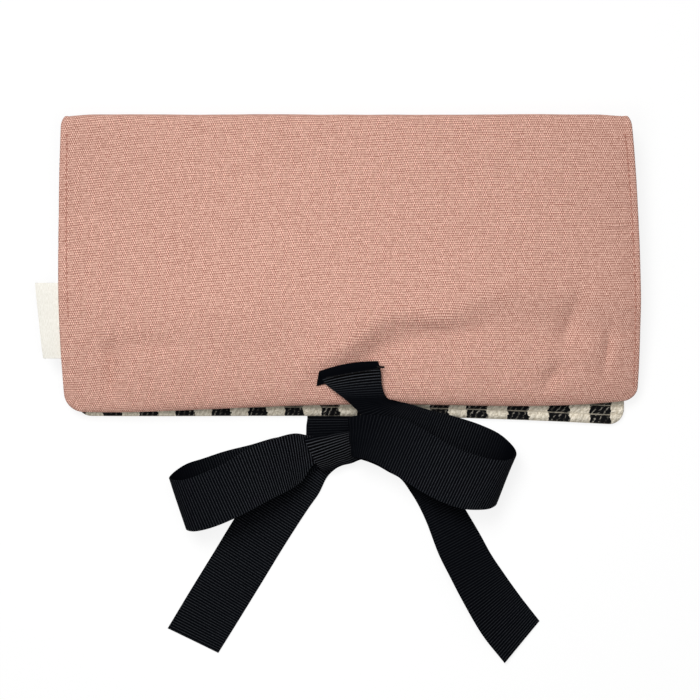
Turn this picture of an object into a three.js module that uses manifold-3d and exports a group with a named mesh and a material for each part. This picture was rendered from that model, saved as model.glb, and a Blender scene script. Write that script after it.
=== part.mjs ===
import * as THREE from "three";
import { mergeVertices } from "three/addons/utils/BufferGeometryUtils.js";
import Module from "manifold-3d";

const wasm = await Module();
wasm.setup();

// Sizes of the closed pouch, in millimetres. It lies on its back: the fold is at +Y, the flap at +Z.
const FOLD_WIDTH = 259; // length of the fold
const FOLD_Y = 66.5; // outer face of the spine
const CLOSED_HEIGHT = 24;
const CLOTH = 0.8; // canvas or lining
const GAP = 0.3; // clearance between neighbouring pieces
const BATTING = 2.3;
const RIM = 2.4; // rounding of a panel's sewn edge
const BACK_FRONT = -72.5; // front edge of the back panel
const BACK_CORNER = 9;
const FLAP_FRONT = -66.3; // front edge of the flap
const FLAP_CORNER = 7;
const FOLD_CORNER = 3;
const FLAP_FRONT_DROP = 10.5; // how far the flap sinks at its front edge
const FLAP_SIDE_DROP = 4.5; // and along its sides
const EDGE_FADE = 1.5; // how fast the front edge's set-back fades towards the fold
const LEAST_CORNER = 0.2;

// Sides of the panels: share of the way from the front edge to the fold, then what the left and
// the right side add to half the fold.
const FLAP_SIDES = [
  [0, 1.3, 3.1],
  [0.16, 2.4, 3.8],
  [0.35, 3.1, 3.4],
  [0.62, 2.9, 2.5],
  [0.85, 2.4, 0.5],
  [1, 1, -1.8],
];
const BACK_SIDES = [
  [0, -3.5, -2.1],
  [1, 1, -1.8],
];
const SPINE_SIDES = [
  [0, 1, -1.8],
  [1, 1, -1.8],
];

// Front edges of the panels: place across as a share of half the fold, then how far it stands back.
const FLAP_EDGE = [
  [-1, -2.9],
  [-0.87, -3.1],
  [-0.6, -2.4],
  [-0.3, -0.5],
  [0, 0.2],
  [0.3, 0.4],
  [0.7, -0.1],
  [0.93, 1.2],
  [1.03, 2.9],
];
const BACK_EDGE = [
  [-1, 1.1],
  [0, 0.9],
  [0.3, 0.4],
  [0.55, -0.4],
  [0.76, -1.6],
  [1, -3.1],
];
const SPINE_EDGE = [[0, 0]];

// Ties of grosgrain ribbon.
const RIBBON_WIDTH = 25.4;
const RIBBON_THICKNESS = 0.5;
const ROOT_X = -6.8; // where the back tie is sewn under the back panel
const ROOT_LENGTH = 21;
const ROOT_DENT = 0.9; // depth of the dent that the sewn end lies in

// Label folded into the left seam of the flap.
const LABEL_LENGTH = 34.5;
const LABEL_REACH = 9.5;
const LABEL_LEAN = 2.2; // extra reach at the end nearer the fold
const LABEL_CLOTH = 0.4;
const LABEL_MIDDLE_Y = -27.5;

// Pockets inside the back panel.
const POCKET_MARGIN = 19; // both ends together
const POCKET_WIDTH = FOLD_WIDTH - POCKET_MARGIN;
const SLIP_MOUTH_Y = 2;
const SLIP_SEAM = 7; // from the panel's front edge to the pocket's seam
const SLIP_RISE = 5.5; // room under the pocket's cloth
const SLIP_SIDE_ROLL = 0.14; // share of half the width over which the cloth rises
const SLIP_FRONT_ROLL = 0.3; // share of the depth over which it rises
const HEM_WIDTH = 8;
const HEM_THICKNESS = 0.5;
const ZIP_Y = 40;
const ZIP_SLOT = 9; // width between the two edges of cloth
const ZIP_TAPE = 0.4;
const ZIP_TAPE_UNDER = 2.2; // tape sewn under the cloth
const ZIP_POCKET_FRONT = 5;
const ZIP_POCKET_REAR = 58;
const TAPE_STEP = 3; // run of cloth that climbs onto the tape

// Zip.
const TAPE_MARGIN = 10; // both ends together, inside the pocket's cloth
const ROW_MARGIN = 42;
const TOOTH_PITCH = 3;
const TOOTH_LENGTH = 1.5;
const TOOTH_HEIGHT = 1.2;
const TOOTH_ROOT = 1.1; // width of the bar that carries the teeth
const STOP_LENGTH = 2;
const SLIDER_LENGTH = 9;
const SLIDER_WALL = 0.8;
const SLIDER_CLEARANCE = 0.42; // between the slider and the teeth
const BRIDGE_WIDTH = 1.6;
const BRIDGE_SPAN = 4;
const BRIDGE_ROOM = 2.2; // clear height under the bridge
const PULL_LENGTH = 9;
const PULL_WIDTH = 4.8;
const PULL_THICKNESS = 1;
const PULL_BAR = 1.2;
const PULL_WINDOW = 3.6;
const PULL_CLEARANCE = 0.51; // beside the bridge

const PANEL = 2 * CLOTH + 2 * GAP + BATTING;
const HALF_FOLD = FOLD_WIDTH / 2;
const RIM_STEPS = [0, 0.2, 0.5, 1, 1.9, 3.4].map((share) => share * RIM);

const pouch = new THREE.Group();
pouch.name = "jewelry_pouch";

const MATERIALS = {
  canvas: { color: 0xcfa191, roughness: 0.95, metalness: 0 },
  batting: { color: 0xf2efe8, roughness: 1, metalness: 0 },
  lining: { color: 0xd8cfba, roughness: 0.95, metalness: 0 },
  ribbon: { color: 0x15181b, roughness: 0.7, metalness: 0 },
  label: { color: 0xe9e3d6, roughness: 0.8, metalness: 0 },
  zip: { color: 0x1b1b1d, roughness: 0.6, metalness: 0 },
  brass: { color: 0xb8935a, roughness: 0.3, metalness: 1 },
};

function addPiece(name, geometry, material) {
  const mesh = new THREE.Mesh(geometry, new THREE.MeshStandardMaterial(MATERIALS[material]));
  mesh.name = name;
  pouch.add(mesh);
  return mesh;
}

function smooth(share) {
  const held = THREE.MathUtils.clamp(share, 0, 1);
  return held * held * (3 - 2 * held);
}

// Value in a column of a table at a place, on straight lines between its rows.
function readTable(table, at, column) {
  if (at <= table[0][0]) {
    return table[0][column];
  }
  for (let row = 1; row < table.length; row += 1) {
    const before = table[row - 1];
    const after = table[row];
    if (at <= after[0]) {
      const share = (at - before[0]) / (after[0] - before[0]);
      return THREE.MathUtils.lerp(before[column], after[column], share);
    }
  }
  return table[table.length - 1][column];
}

function bufferGeometry(points, index) {
  const geometry = new THREE.BufferGeometry();
  geometry.setFromPoints(points);
  geometry.setIndex(index);
  geometry.computeVertexNormals();
  return geometry;
}

// Closed body between an upper and a lower grid of points, rows along +Y and columns along +X.
function bodyBetween(upper, lower) {
  const rows = upper.length;
  const columns = upper[0].length;
  const points = [...upper.flat(), ...lower.flat()];
  const index = [];
  const top = (row, column) => row * columns + column;
  const under = (row, column) => rows * columns + row * columns + column;
  const quad = (a, b, c, d) => index.push(a, b, c, a, c, d);
  for (let row = 0; row < rows - 1; row += 1) {
    for (let column = 0; column < columns - 1; column += 1) {
      quad(top(row, column), top(row, column + 1), top(row + 1, column + 1), top(row + 1, column));
      quad(under(row, column), under(row + 1, column), under(row + 1, column + 1), under(row, column + 1));
    }
  }
  const lastRow = rows - 1;
  const lastColumn = columns - 1;
  for (let column = 0; column < lastColumn; column += 1) {
    quad(under(0, column), under(0, column + 1), top(0, column + 1), top(0, column));
    quad(under(lastRow, column + 1), under(lastRow, column), top(lastRow, column), top(lastRow, column + 1));
  }
  for (let row = 0; row < lastRow; row += 1) {
    quad(under(row + 1, 0), under(row, 0), top(row, 0), top(row + 1, 0));
    quad(under(row, lastColumn), under(row + 1, lastColumn), top(row + 1, lastColumn), top(row, lastColumn));
  }
  return bufferGeometry(points, index);
}

// Closed body through a row of like sections. `outline` is the section laid flat, anticlockwise.
function loft(sections, outline) {
  const ring = outline.length;
  const last = (sections.length - 1) * ring;
  const index = [];
  for (let start = 0; start < last; start += ring) {
    for (let corner = 0; corner < ring; corner += 1) {
      const a = start + corner;
      const b = start + ((corner + 1) % ring);
      index.push(b, a, a + ring, b, a + ring, b + ring);
    }
  }
  const flatRing = outline.map(([across, up]) => new THREE.Vector2(across, up));
  for (const [a, b, c] of THREE.ShapeUtils.triangulateShape(flatRing, [])) {
    const turned = THREE.ShapeUtils.isClockWise([flatRing[a], flatRing[b], flatRing[c]]);
    const [second, third] = turned ? [c, b] : [b, c];
    index.push(a, second, third);
    index.push(last + a, last + third, last + second);
  }
  return bufferGeometry(sections.flat(), index);
}

// Stations across a panel: close together at both edges, then the given places between.
function stations(low, high, steps, between, inset) {
  const reach = steps[steps.length - 1];
  const pulledIn = (step) => inset + (step * (reach - inset)) / reach;
  const lowEdge = steps.map((step) => ({ at: low + pulledIn(step), step }));
  const highEdge = steps.map((step) => ({ at: high - pulledIn(step), step })).reverse();
  const middle = between.map((at) => ({ at, step: reach }));
  return [...lowEdge, ...middle, ...highEdge];
}

function roundedCorner(panel, x, y, inset) {
  const atFront = y < (panel.front + panel.rear) / 2;
  const radius = Math.max((atFront ? panel.frontCorner : panel.rearCorner) - inset, LEAST_CORNER);
  const centreX = panel.half - inset - radius;
  const centreY = atFront ? panel.front + inset + radius : panel.rear - inset - radius;
  const overX = Math.abs(x) - centreX;
  const overY = atFront ? centreY - y : y - centreY;
  if (overX <= 0 || overY <= 0) {
    return [x, y];
  }
  const pull = Math.max(overX, overY) / Math.hypot(overX, overY);
  const roundX = Math.sign(x) * (centreX + overX * pull);
  const roundY = atFront ? centreY - overY * pull : centreY + overY * pull;
  return [roundX, roundY];
}

// One face of a panel: `height` gives its distance from the seam plane.
function panelFace(panel, inset, height) {
  const columns = stations(-panel.half, panel.half, panel.steps, panel.columns, inset);
  const rows = stations(panel.front, panel.rear, panel.steps, panel.rows, inset);
  return rows.map((row) =>
    columns.map((column) => {
      const step = Math.min(row.step, column.step);
      const fullness = step >= RIM ? 1 : Math.sqrt(1 - (1 - step / RIM) ** 2);
      const [x, y] = roundedCorner(panel, column.at, row.at, inset);
      const share = (y - panel.front) / (panel.rear - panel.front);
      const sideColumn = x < 0 ? 1 : 2;
      const outX = x * (1 + readTable(panel.sides, share, sideColumn) / panel.half);
      const setBack = readTable(panel.edge, outX / panel.half, 1);
      const outY = y + setBack * (1 - share) ** EDGE_FADE;
      const middle = panel.middle(outX, share);
      return new THREE.Vector3(outX, outY, middle + height(x, y, fullness));
    }),
  );
}

// A padded panel: canvas, batting and lining. `side` is +1 where the canvas is the upper cloth.
function paddedPanel(name, panel, side) {
  const seam = GAP / 2;
  const upperFace = (depth) => (x, y, fullness) => seam + (PANEL / 2 - seam - depth) * fullness;
  const lowerFace = (depth) => (x, y, fullness) =>
    -seam - (PANEL / 2 - seam - depth - panel.dent(x, y)) * fullness;
  const upperCloth = bodyBetween(
    panelFace(panel, 0, upperFace(0)),
    panelFace(panel, CLOTH, upperFace(CLOTH)),
  );
  const lowerCloth = bodyBetween(
    panelFace(panel, CLOTH, lowerFace(CLOTH)),
    panelFace(panel, 0, lowerFace(0)),
  );
  const inner = CLOTH + GAP;
  const batting = bodyBetween(
    panelFace(panel, inner, upperFace(inner)),
    panelFace(panel, inner, lowerFace(inner)),
  );
  const canvasBody = side > 0 ? upperCloth : lowerCloth;
  const liningBody = side > 0 ? lowerCloth : upperCloth;
  return [
    addPiece(`${name}_canvas`, canvasBody, "canvas"),
    addPiece(`${name}_batting`, batting, "batting"),
    addPiece(`${name}_lining`, liningBody, "lining"),
  ];
}

const flat = () => 0;

// Back panel, with the dent for the sewn end of its tie.
const dentSide = RIBBON_WIDTH / 2 + 2 * GAP;
const dentEnd = BACK_FRONT + ROOT_LENGTH;
const DENT_SLOPE = 2.5;
const backPanel = {
  half: HALF_FOLD,
  front: BACK_FRONT,
  rear: FOLD_Y,
  frontCorner: BACK_CORNER,
  rearCorner: FOLD_CORNER,
  sides: BACK_SIDES,
  edge: BACK_EDGE,
  steps: RIM_STEPS,
  columns: [
    ROOT_X - dentSide - DENT_SLOPE,
    ROOT_X - dentSide,
    ROOT_X + dentSide,
    ROOT_X + dentSide + DENT_SLOPE,
  ],
  rows: [dentEnd, dentEnd + DENT_SLOPE],
  middle: () => PANEL / 2,
  dent: (x, y) => {
    const sideShare = 1 - smooth((Math.abs(x - ROOT_X) - dentSide) / DENT_SLOPE);
    const endShare = 1 - smooth((y - dentEnd) / DENT_SLOPE);
    return ROOT_DENT * sideShare * endShare;
  },
};
paddedPanel("back", backPanel, -1);

// Spine, standing between the two creases.
const spineHeight = CLOSED_HEIGHT - 2 * PANEL - 2 * GAP;
const spinePanel = {
  half: HALF_FOLD,
  front: -spineHeight / 2,
  rear: spineHeight / 2,
  frontCorner: FOLD_CORNER / 2,
  rearCorner: FOLD_CORNER / 2,
  sides: SPINE_SIDES,
  edge: SPINE_EDGE,
  steps: RIM_STEPS.slice(0, 4),
  columns: [],
  rows: [],
  middle: flat,
  dent: flat,
};
for (const piece of paddedPanel("spine", spinePanel, -1)) {
  piece.rotation.x = Math.PI / 2;
  piece.position.set(0, FOLD_Y - PANEL / 2, CLOSED_HEIGHT / 2);
}

// Flap, sinking towards its front edge and its sides.
function flapMiddle(x, share) {
  const frontDrop = FLAP_FRONT_DROP * Math.max(0, 1 - 2 * share) ** 2;
  const sideDrop = FLAP_SIDE_DROP * (Math.abs(x) / HALF_FOLD) ** 4 * Math.min(1, 3 * (1 - share));
  return CLOSED_HEIGHT - PANEL / 2 - frontDrop - sideDrop;
}
const flapLength = FOLD_Y - FLAP_FRONT;
const flapPanel = {
  half: HALF_FOLD,
  front: FLAP_FRONT,
  rear: FOLD_Y,
  frontCorner: FLAP_CORNER,
  rearCorner: FOLD_CORNER,
  sides: FLAP_SIDES,
  edge: FLAP_EDGE,
  steps: RIM_STEPS,
  columns: [-0.4, -0.3, -0.16, 0.16, 0.3, 0.4].map((share) => share * FOLD_WIDTH),
  rows: [0.13, 0.2, 0.29, 0.4, 0.52, 0.75].map((share) => FLAP_FRONT + share * flapLength),
  middle: flapMiddle,
  dent: flat,
};
paddedPanel("flap", flapPanel, 1);

// Label: a strip folded double, its fold outwards, standing out of the flap's left seam.
function labelOutline(reach) {
  const half = LABEL_CLOTH + GAP / 2;
  const slit = -reach + 2 * LABEL_CLOTH;
  return [
    [-GAP, half],
    [-reach + half, half],
    [-reach, half / 2],
    [-reach, -half / 2],
    [-reach + half, -half],
    [-GAP, -half],
    [-GAP, -GAP / 2],
    [slit, -GAP / 2],
    [slit, GAP / 2],
    [-GAP, GAP / 2],
  ];
}
function labelSection(share) {
  const y = LABEL_MIDDLE_Y + (share - 0.5) * LABEL_LENGTH;
  const nearly = (y - FLAP_FRONT) / flapLength;
  const setBack = readTable(FLAP_EDGE, -1, 1) * (1 - nearly) ** EDGE_FADE;
  const along = (y - setBack - FLAP_FRONT) / flapLength;
  const seamX = -HALF_FOLD - readTable(FLAP_SIDES, along, 1);
  const seamZ = flapMiddle(seamX, along);
  const outline = labelOutline(LABEL_REACH + LABEL_LEAN * (share - 0.5));
  return outline.map(([x, z]) => new THREE.Vector3(seamX + x, y, seamZ + z));
}
const labelSections = [0, 0.25, 0.5, 0.75, 1].map(labelSection);
addPiece("side_label", loft(labelSections, labelOutline(LABEL_REACH)), "label");

// Slip pocket: sewn down at the front and the sides, open towards the fold.
const liningTop = PANEL + GAP;
const slipFront = BACK_FRONT + SLIP_SEAM;
function slipFace(above) {
  const rows = [0, 0.05, 0.12, 0.2, 0.3, 0.6, 1 - HEM_WIDTH / (SLIP_MOUTH_Y - slipFront), 0.93, 1];
  const columns = [-1, -0.975, -0.94, -0.9, -0.86, 0, 0.86, 0.9, 0.94, 0.975, 1];
  return rows.map((row) =>
    columns.map((column) => {
      const sideShare = smooth((1 - Math.abs(column)) / SLIP_SIDE_ROLL);
      const frontShare = smooth(row / SLIP_FRONT_ROLL);
      const hem = row > 0.9 ? HEM_THICKNESS : 0;
      const lift = SLIP_RISE * sideShare * frontShare;
      const x = (column * POCKET_WIDTH) / 2;
      const y = slipFront + row * (SLIP_MOUTH_Y - slipFront);
      return new THREE.Vector3(x, y, liningTop + lift + above * (CLOTH + hem));
    }),
  );
}
addPiece("slip_pocket", bodyBetween(slipFace(1), slipFace(0)), "lining");

// Cloth on both sides of the zip: flat on the lining, climbing onto the tape beside the slot.
const clothOnTape = liningTop + ZIP_TAPE + GAP;
function zipCloth(sewnEdge, slotEdge) {
  const towards = Math.sign(slotEdge - sewnEdge);
  const climbEnd = slotEdge - towards * (ZIP_TAPE_UNDER + GAP);
  const climbStart = climbEnd - towards * TAPE_STEP;
  const profile = [
    [sewnEdge, liningTop],
    [climbStart, liningTop],
    [climbEnd, clothOnTape],
    [slotEdge, clothOnTape],
  ];
  if (towards < 0) {
    profile.reverse();
  }
  const face = (above) =>
    profile.map(([y, z]) =>
      [-1, 1].map((side) => new THREE.Vector3((side * POCKET_WIDTH) / 2, y, z + above)),
    );
  return bodyBetween(face(CLOTH), face(0));
}
const slotFront = ZIP_Y - ZIP_SLOT / 2;
const slotRear = ZIP_Y + ZIP_SLOT / 2;
addPiece("zip_pocket_panel", zipCloth(ZIP_POCKET_FRONT, slotFront), "lining");
addPiece("zip_pocket_header", zipCloth(ZIP_POCKET_REAR, slotRear), "lining");

function box(sizeX, sizeY, sizeZ, x, y, z) {
  const geometry = new THREE.BoxGeometry(sizeX, sizeY, sizeZ);
  geometry.translate(x, y, z);
  return geometry;
}

// Zip tapes, each sewn under one edge of the cloth.
const tapeWidth = ZIP_SLOT / 2 + ZIP_TAPE_UNDER - GAP / 2;
const tapeLength = POCKET_WIDTH - TAPE_MARGIN;
for (const [name, side] of [["zip_tape_front", -1], ["zip_tape_rear", 1]]) {
  const y = ZIP_Y + side * (GAP / 2 + tapeWidth / 2);
  const tape = box(tapeLength, tapeWidth, ZIP_TAPE, 0, y, liningTop + ZIP_TAPE / 2);
  addPiece(name, tape, "zip");
}

// Rows of teeth: each row is a bar with teeth that stand between those of the other row.
const toothCount = Math.floor((POCKET_WIDTH - ROW_MARGIN) / TOOTH_PITCH);
const rowLength = toothCount * TOOTH_PITCH;
const toothWidth = TOOTH_PITCH / 2 - GAP;
const rowHalf = TOOTH_ROOT + (TOOTH_LENGTH + GAP) / 2;
function toothRow(shift) {
  const outline = new THREE.Shape();
  const tip = -rowHalf + TOOTH_ROOT + TOOTH_LENGTH;
  const root = -rowHalf + TOOTH_ROOT;
  outline.moveTo(-rowLength / 2, -rowHalf);
  outline.lineTo(rowLength / 2, -rowHalf);
  outline.lineTo(rowLength / 2, root);
  for (let tooth = toothCount - 1; tooth >= 0; tooth -= 1) {
    const middle = -rowLength / 2 + (tooth + 0.5) * TOOTH_PITCH + shift;
    outline.lineTo(middle + toothWidth / 2, root);
    outline.lineTo(middle + toothWidth / 2, tip);
    outline.lineTo(middle - toothWidth / 2, tip);
    outline.lineTo(middle - toothWidth / 2, root);
  }
  outline.lineTo(-rowLength / 2, root);
  return new THREE.ExtrudeGeometry(outline, { depth: TOOTH_HEIGHT, bevelEnabled: false });
}
const toothZ = liningTop + ZIP_TAPE + GAP;
const frontRow = toothRow(-TOOTH_PITCH / 4);
frontRow.translate(0, ZIP_Y, toothZ);
addPiece("zip_teeth_front", frontRow, "zip");
const rearRow = toothRow(-TOOTH_PITCH / 4);
rearRow.rotateZ(Math.PI);
rearRow.translate(0, ZIP_Y, toothZ);
addPiece("zip_teeth_rear", rearRow, "zip");

const stopX = rowLength / 2 + GAP + STOP_LENGTH / 2;
for (const [name, side] of [["zip_stop_closed", 1], ["zip_stop_open", -1]]) {
  const stop = box(STOP_LENGTH, 2 * rowHalf, TOOTH_HEIGHT, side * stopX, ZIP_Y, toothZ + TOOTH_HEIGHT / 2);
  addPiece(name, stop, "brass");
}

function toManifold(geometry) {
  const bare = geometry.clone();
  bare.deleteAttribute("normal");
  bare.deleteAttribute("uv");
  const merged = mergeVertices(bare);
  const mesh = new wasm.Mesh({
    numProp: 3,
    vertProperties: new Float32Array(merged.attributes.position.array),
    triVerts: new Uint32Array(merged.index.array),
  });
  return new wasm.Manifold(mesh);
}

function fromManifold(body) {
  const mesh = body.getMesh();
  const geometry = new THREE.BufferGeometry();
  geometry.setAttribute("position", new THREE.BufferAttribute(new Float32Array(mesh.vertProperties), 3));
  geometry.setIndex(new THREE.BufferAttribute(new Uint32Array(mesh.triVerts), 1));
  geometry.computeVertexNormals();
  return geometry;
}

// Slider: a channel that straddles both rows of teeth, with a bridge on its roof for the pull.
const channelHalf = rowHalf + SLIDER_CLEARANCE;
const roofUnder = TOOTH_HEIGHT + SLIDER_CLEARANCE;
const roofTop = roofUnder + SLIDER_WALL;
const sliderX = rowLength / 2 - GAP - SLIDER_LENGTH / 2;
function sliderBody() {
  const wallX = channelHalf + SLIDER_WALL;
  const channel = new THREE.Shape();
  channel.moveTo(-wallX, 0);
  channel.lineTo(-channelHalf, 0);
  channel.lineTo(-channelHalf, roofUnder);
  channel.lineTo(channelHalf, roofUnder);
  channel.lineTo(channelHalf, 0);
  channel.lineTo(wallX, 0);
  channel.lineTo(wallX, roofTop - SLIDER_WALL / 2);
  channel.lineTo(wallX - SLIDER_WALL / 2, roofTop);
  channel.lineTo(-wallX + SLIDER_WALL / 2, roofTop);
  channel.lineTo(-wallX, roofTop - SLIDER_WALL / 2);
  const shell = new THREE.ExtrudeGeometry(channel, { depth: SLIDER_LENGTH, bevelEnabled: false });
  shell.rotateX(Math.PI / 2);
  shell.rotateZ(Math.PI / 2);
  shell.translate(-SLIDER_LENGTH / 2, 0, 0);

  const legHalf = BRIDGE_SPAN / 2 + SLIDER_WALL;
  const bridgeTop = roofTop + BRIDGE_ROOM + SLIDER_WALL;
  const sunk = SLIDER_WALL / 2;
  const arch = new THREE.Shape();
  arch.moveTo(-legHalf, roofTop - sunk);
  arch.lineTo(-BRIDGE_SPAN / 2, roofTop - sunk);
  arch.lineTo(-BRIDGE_SPAN / 2, roofTop + BRIDGE_ROOM);
  arch.lineTo(BRIDGE_SPAN / 2, roofTop + BRIDGE_ROOM);
  arch.lineTo(BRIDGE_SPAN / 2, roofTop - sunk);
  arch.lineTo(legHalf, roofTop - sunk);
  arch.lineTo(legHalf, bridgeTop - SLIDER_WALL);
  arch.lineTo(legHalf - SLIDER_WALL, bridgeTop);
  arch.lineTo(-legHalf + SLIDER_WALL, bridgeTop);
  arch.lineTo(-legHalf, bridgeTop - SLIDER_WALL);
  const bridge = new THREE.ExtrudeGeometry(arch, { depth: BRIDGE_WIDTH, bevelEnabled: false });
  bridge.rotateX(Math.PI / 2);
  bridge.translate(0, BRIDGE_WIDTH / 2, 0);
  return fromManifold(toManifold(shell).add(toManifold(bridge)));
}
const slider = addPiece("zip_slider", sliderBody(), "brass");
slider.position.set(sliderX, ZIP_Y, toothZ);

// Pull: a flat tab whose end bar passes under the bridge.
function pullBody() {
  const halfWidth = PULL_WIDTH / 2;
  const windowHalf = BRIDGE_WIDTH / 2 + PULL_CLEARANCE;
  const tab = new THREE.Shape();
  tab.moveTo(-PULL_BAR / 2, -halfWidth);
  tab.lineTo(PULL_LENGTH - halfWidth, -halfWidth);
  tab.absarc(PULL_LENGTH - halfWidth, 0, halfWidth, -Math.PI / 2, Math.PI / 2, false);
  tab.lineTo(-PULL_BAR / 2, halfWidth);
  const window = new THREE.Path();
  window.moveTo(PULL_BAR / 2, -windowHalf);
  window.lineTo(PULL_BAR / 2, windowHalf);
  window.lineTo(PULL_BAR / 2 + PULL_WINDOW, windowHalf);
  window.lineTo(PULL_BAR / 2 + PULL_WINDOW, -windowHalf);
  tab.holes.push(window);
  const options = { depth: PULL_THICKNESS, bevelEnabled: false, curveSegments: 5 };
  const geometry = new THREE.ExtrudeGeometry(tab, options);
  geometry.translate(0, 0, -PULL_THICKNESS / 2);
  return geometry;
}
const pull = addPiece("zip_pull", pullBody(), "brass");
pull.position.set(sliderX, ZIP_Y, toothZ + roofTop + BRIDGE_ROOM / 2);

// Stations of the ties: middle x, y, z; direction of the width in degrees from +X; its lean; width.
const FLAP_TIE = [
  [-1.7, -55, 17.5, 10, 3, 27],
  [-0.8, -50, 18.8, 10, 3, 27],
  [-0.3, -48.3, 19.6, 10, 3, 27],
  [0.3, -49.8, 20.1, 10, 3, 27],
  [1.5, -53.6, 19.1, 9, 2, 26.2],
  [3.8, -58.2, 18, 5, 1, 22.5],
  [7.6, -63, 17.6, 2, 0, 19.2],
  [12.7, -66.3, 16.6, 13, 0, 18.8],
  [20.7, -72.8, 14, 50, 0, 19.3],
  [32.4, -79.1, 9.5, 66, 0, 23.2],
  [44.4, -83.3, 5.6, 69, 0, 25],
  [56.1, -87.1, 3.6, 69, 0, 25],
  [64.9, -91.4, 3.6, 69, 0, 25.2],
  [69.7, -95.8, 6.5, 68, 0, 25.4],
  [71.9, -99.3, 12.5, 69, 0, 25],
  [69.4, -101.6, 18.2, 64, 0, 25.6],
  [64.3, -102.3, 21, 61, 0, 25.6],
  [57.5, -101.6, 21.8, 64, 0, 25.5],
  [48.2, -98.8, 21.5, 64, 0, 25.2],
  [39.2, -94.6, 20.8, 65, 0, 24.8],
  [29.4, -88.6, 20, 66, 0, 24.7],
  [20.1, -83.3, 19.6, 67, 0, 23.6],
  [12.2, -80.8, 19.2, 70, 0, 21.4],
  [4.8, -80.2, 18.4, 82, 0, 19.6],
  [0.6, -80.9, 15.7, 95, 0, 18],
  [6.8, -84, 13.2, 97, 0, 15.7],
  [12.5, -86.3, 10, 92, 0, 15.4],
  [18.9, -89.1, 6.6, 84, 0, 16.2],
  [26.5, -92.1, 3.6, 73, 0, 17.9],
  [34.7, -98.4, 1.9, 56, 0, 21.4],
  [39.6, -107.9, 1.2, 29, 0, 18],
  [43.9, -116, 4.2, 25, -16, 19.2],
  [50.9, -130.5, 7, 24, -30, 24.4],
  [55.9, -140.1, 6.8, 23, -29, 24.8],
  [61.6, -149.9, 5.8, 30, -24, 25],
  [70.7, -164.2, 3.6, 42, -13, 25.4],
  [80.2, -176.4, 1.5, 50, -4, 25.4],
];
const BACK_TIE = [
  [-6.8, -53, 0.3, 0, 0, 25.4],
  [-6.8, -62.3, 0.3, 0, 0, 25.4],
  [-6.8, -69.2, 0.3, 0, 0, 25.4],
  [-6.8, -72.8, 0.5, 0, 0, 25.4],
  [-7.2, -75.6, 1.3, 1, 0, 25.4],
  [-7.6, -78.2, 1.9, 2, 0, 24.8],
  [-8.2, -80.5, 2.7, 4, 0, 23.8],
  [-8.8, -81.5, 4.4, 6, 0, 23],
  [-9.5, -80.9, 6.6, 8, 0, 22.2],
  [-10.1, -80, 8.6, 10, 0, 21.6],
  [-9.6, -81.4, 10.2, 14, 0, 21],
  [-8.2, -84.6, 10.9, 19, 0, 20.6],
  [-6.4, -88.4, 10.3, 21, 0, 20.2],
  [-4.4, -91.6, 8, 20, 0, 20.2],
  [-2.2, -93.8, 5.4, 18, 0, 20.4],
  [-4, -92.8, 3.4, 18, 0, 18.8],
  [-7.5, -90.7, 2.9, 30, 0, 15],
  [-11.2, -88.9, 2.9, 70, 0, 13],
  [-16.3, -88.6, 2.9, 100, 0, 14.5],
  [-23.3, -90.5, 2.9, 108, 0, 20],
  [-29.6, -93.2, 2.8, 110, 0, 25],
  [-41.6, -96.8, 2.6, 110, 0, 25.4],
  [-53.2, -99.7, 2.5, 110, 0, 25.4],
  [-63.2, -103, 2.8, 110, 0, 25.4],
  [-70.7, -105.4, 4.6, 110, 0, 25.4],
  [-75.9, -108.5, 8.2, 109, 0, 25.2],
  [-78.5, -111.1, 13.5, 108, 0, 24.6],
  [-75.4, -111.9, 18.3, 110, 0, 24.8],
  [-69.9, -111.1, 20.2, 113, 0, 24.6],
  [-62.8, -108.7, 20.3, 114, 0, 24.6],
  [-52.7, -104.1, 19.2, 115, 0, 24.6],
  [-40.5, -97.3, 16.6, 110, 0, 25.3],
  [-30.4, -93, 12.8, 105, 0, 24.5],
  [-23.3, -90.2, 9.3, 98, 0, 22.1],
  [-17.4, -86.9, 7.6, 100, 0, 13.3],
  [-10.4, -87, 6.9, 99, 0, 10.3],
  [-4.3, -87, 6.6, 98, 0, 10.5],
  [-0.8, -87.3, 5.6, 98, 0, 10.5],
  [0.8, -87.7, 3.8, 99, 0, 10.5],
  [-1, -88.2, 1.7, 100, 0, 11],
  [-5.2, -89.4, 1.1, 112, 0, 11],
  [-10.3, -91.3, 0.9, 132, 0, 12.5],
  [-16.4, -94.8, 0.8, 142, 0, 16],
  [-22.9, -101.8, 0.7, 147, 0, 21],
  [-30.1, -107.6, 0.6, 148, 0, 26.2],
  [-40.4, -123.3, 0.5, 148, 0, 26.4],
  [-52.5, -143.1, 0.5, 148, 0, 26.4],
  [-62.7, -159.7, 0.5, 150, 0, 26.4],
  [-72.6, -175.9, 0.5, 154, 0, 26.2],
];

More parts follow.
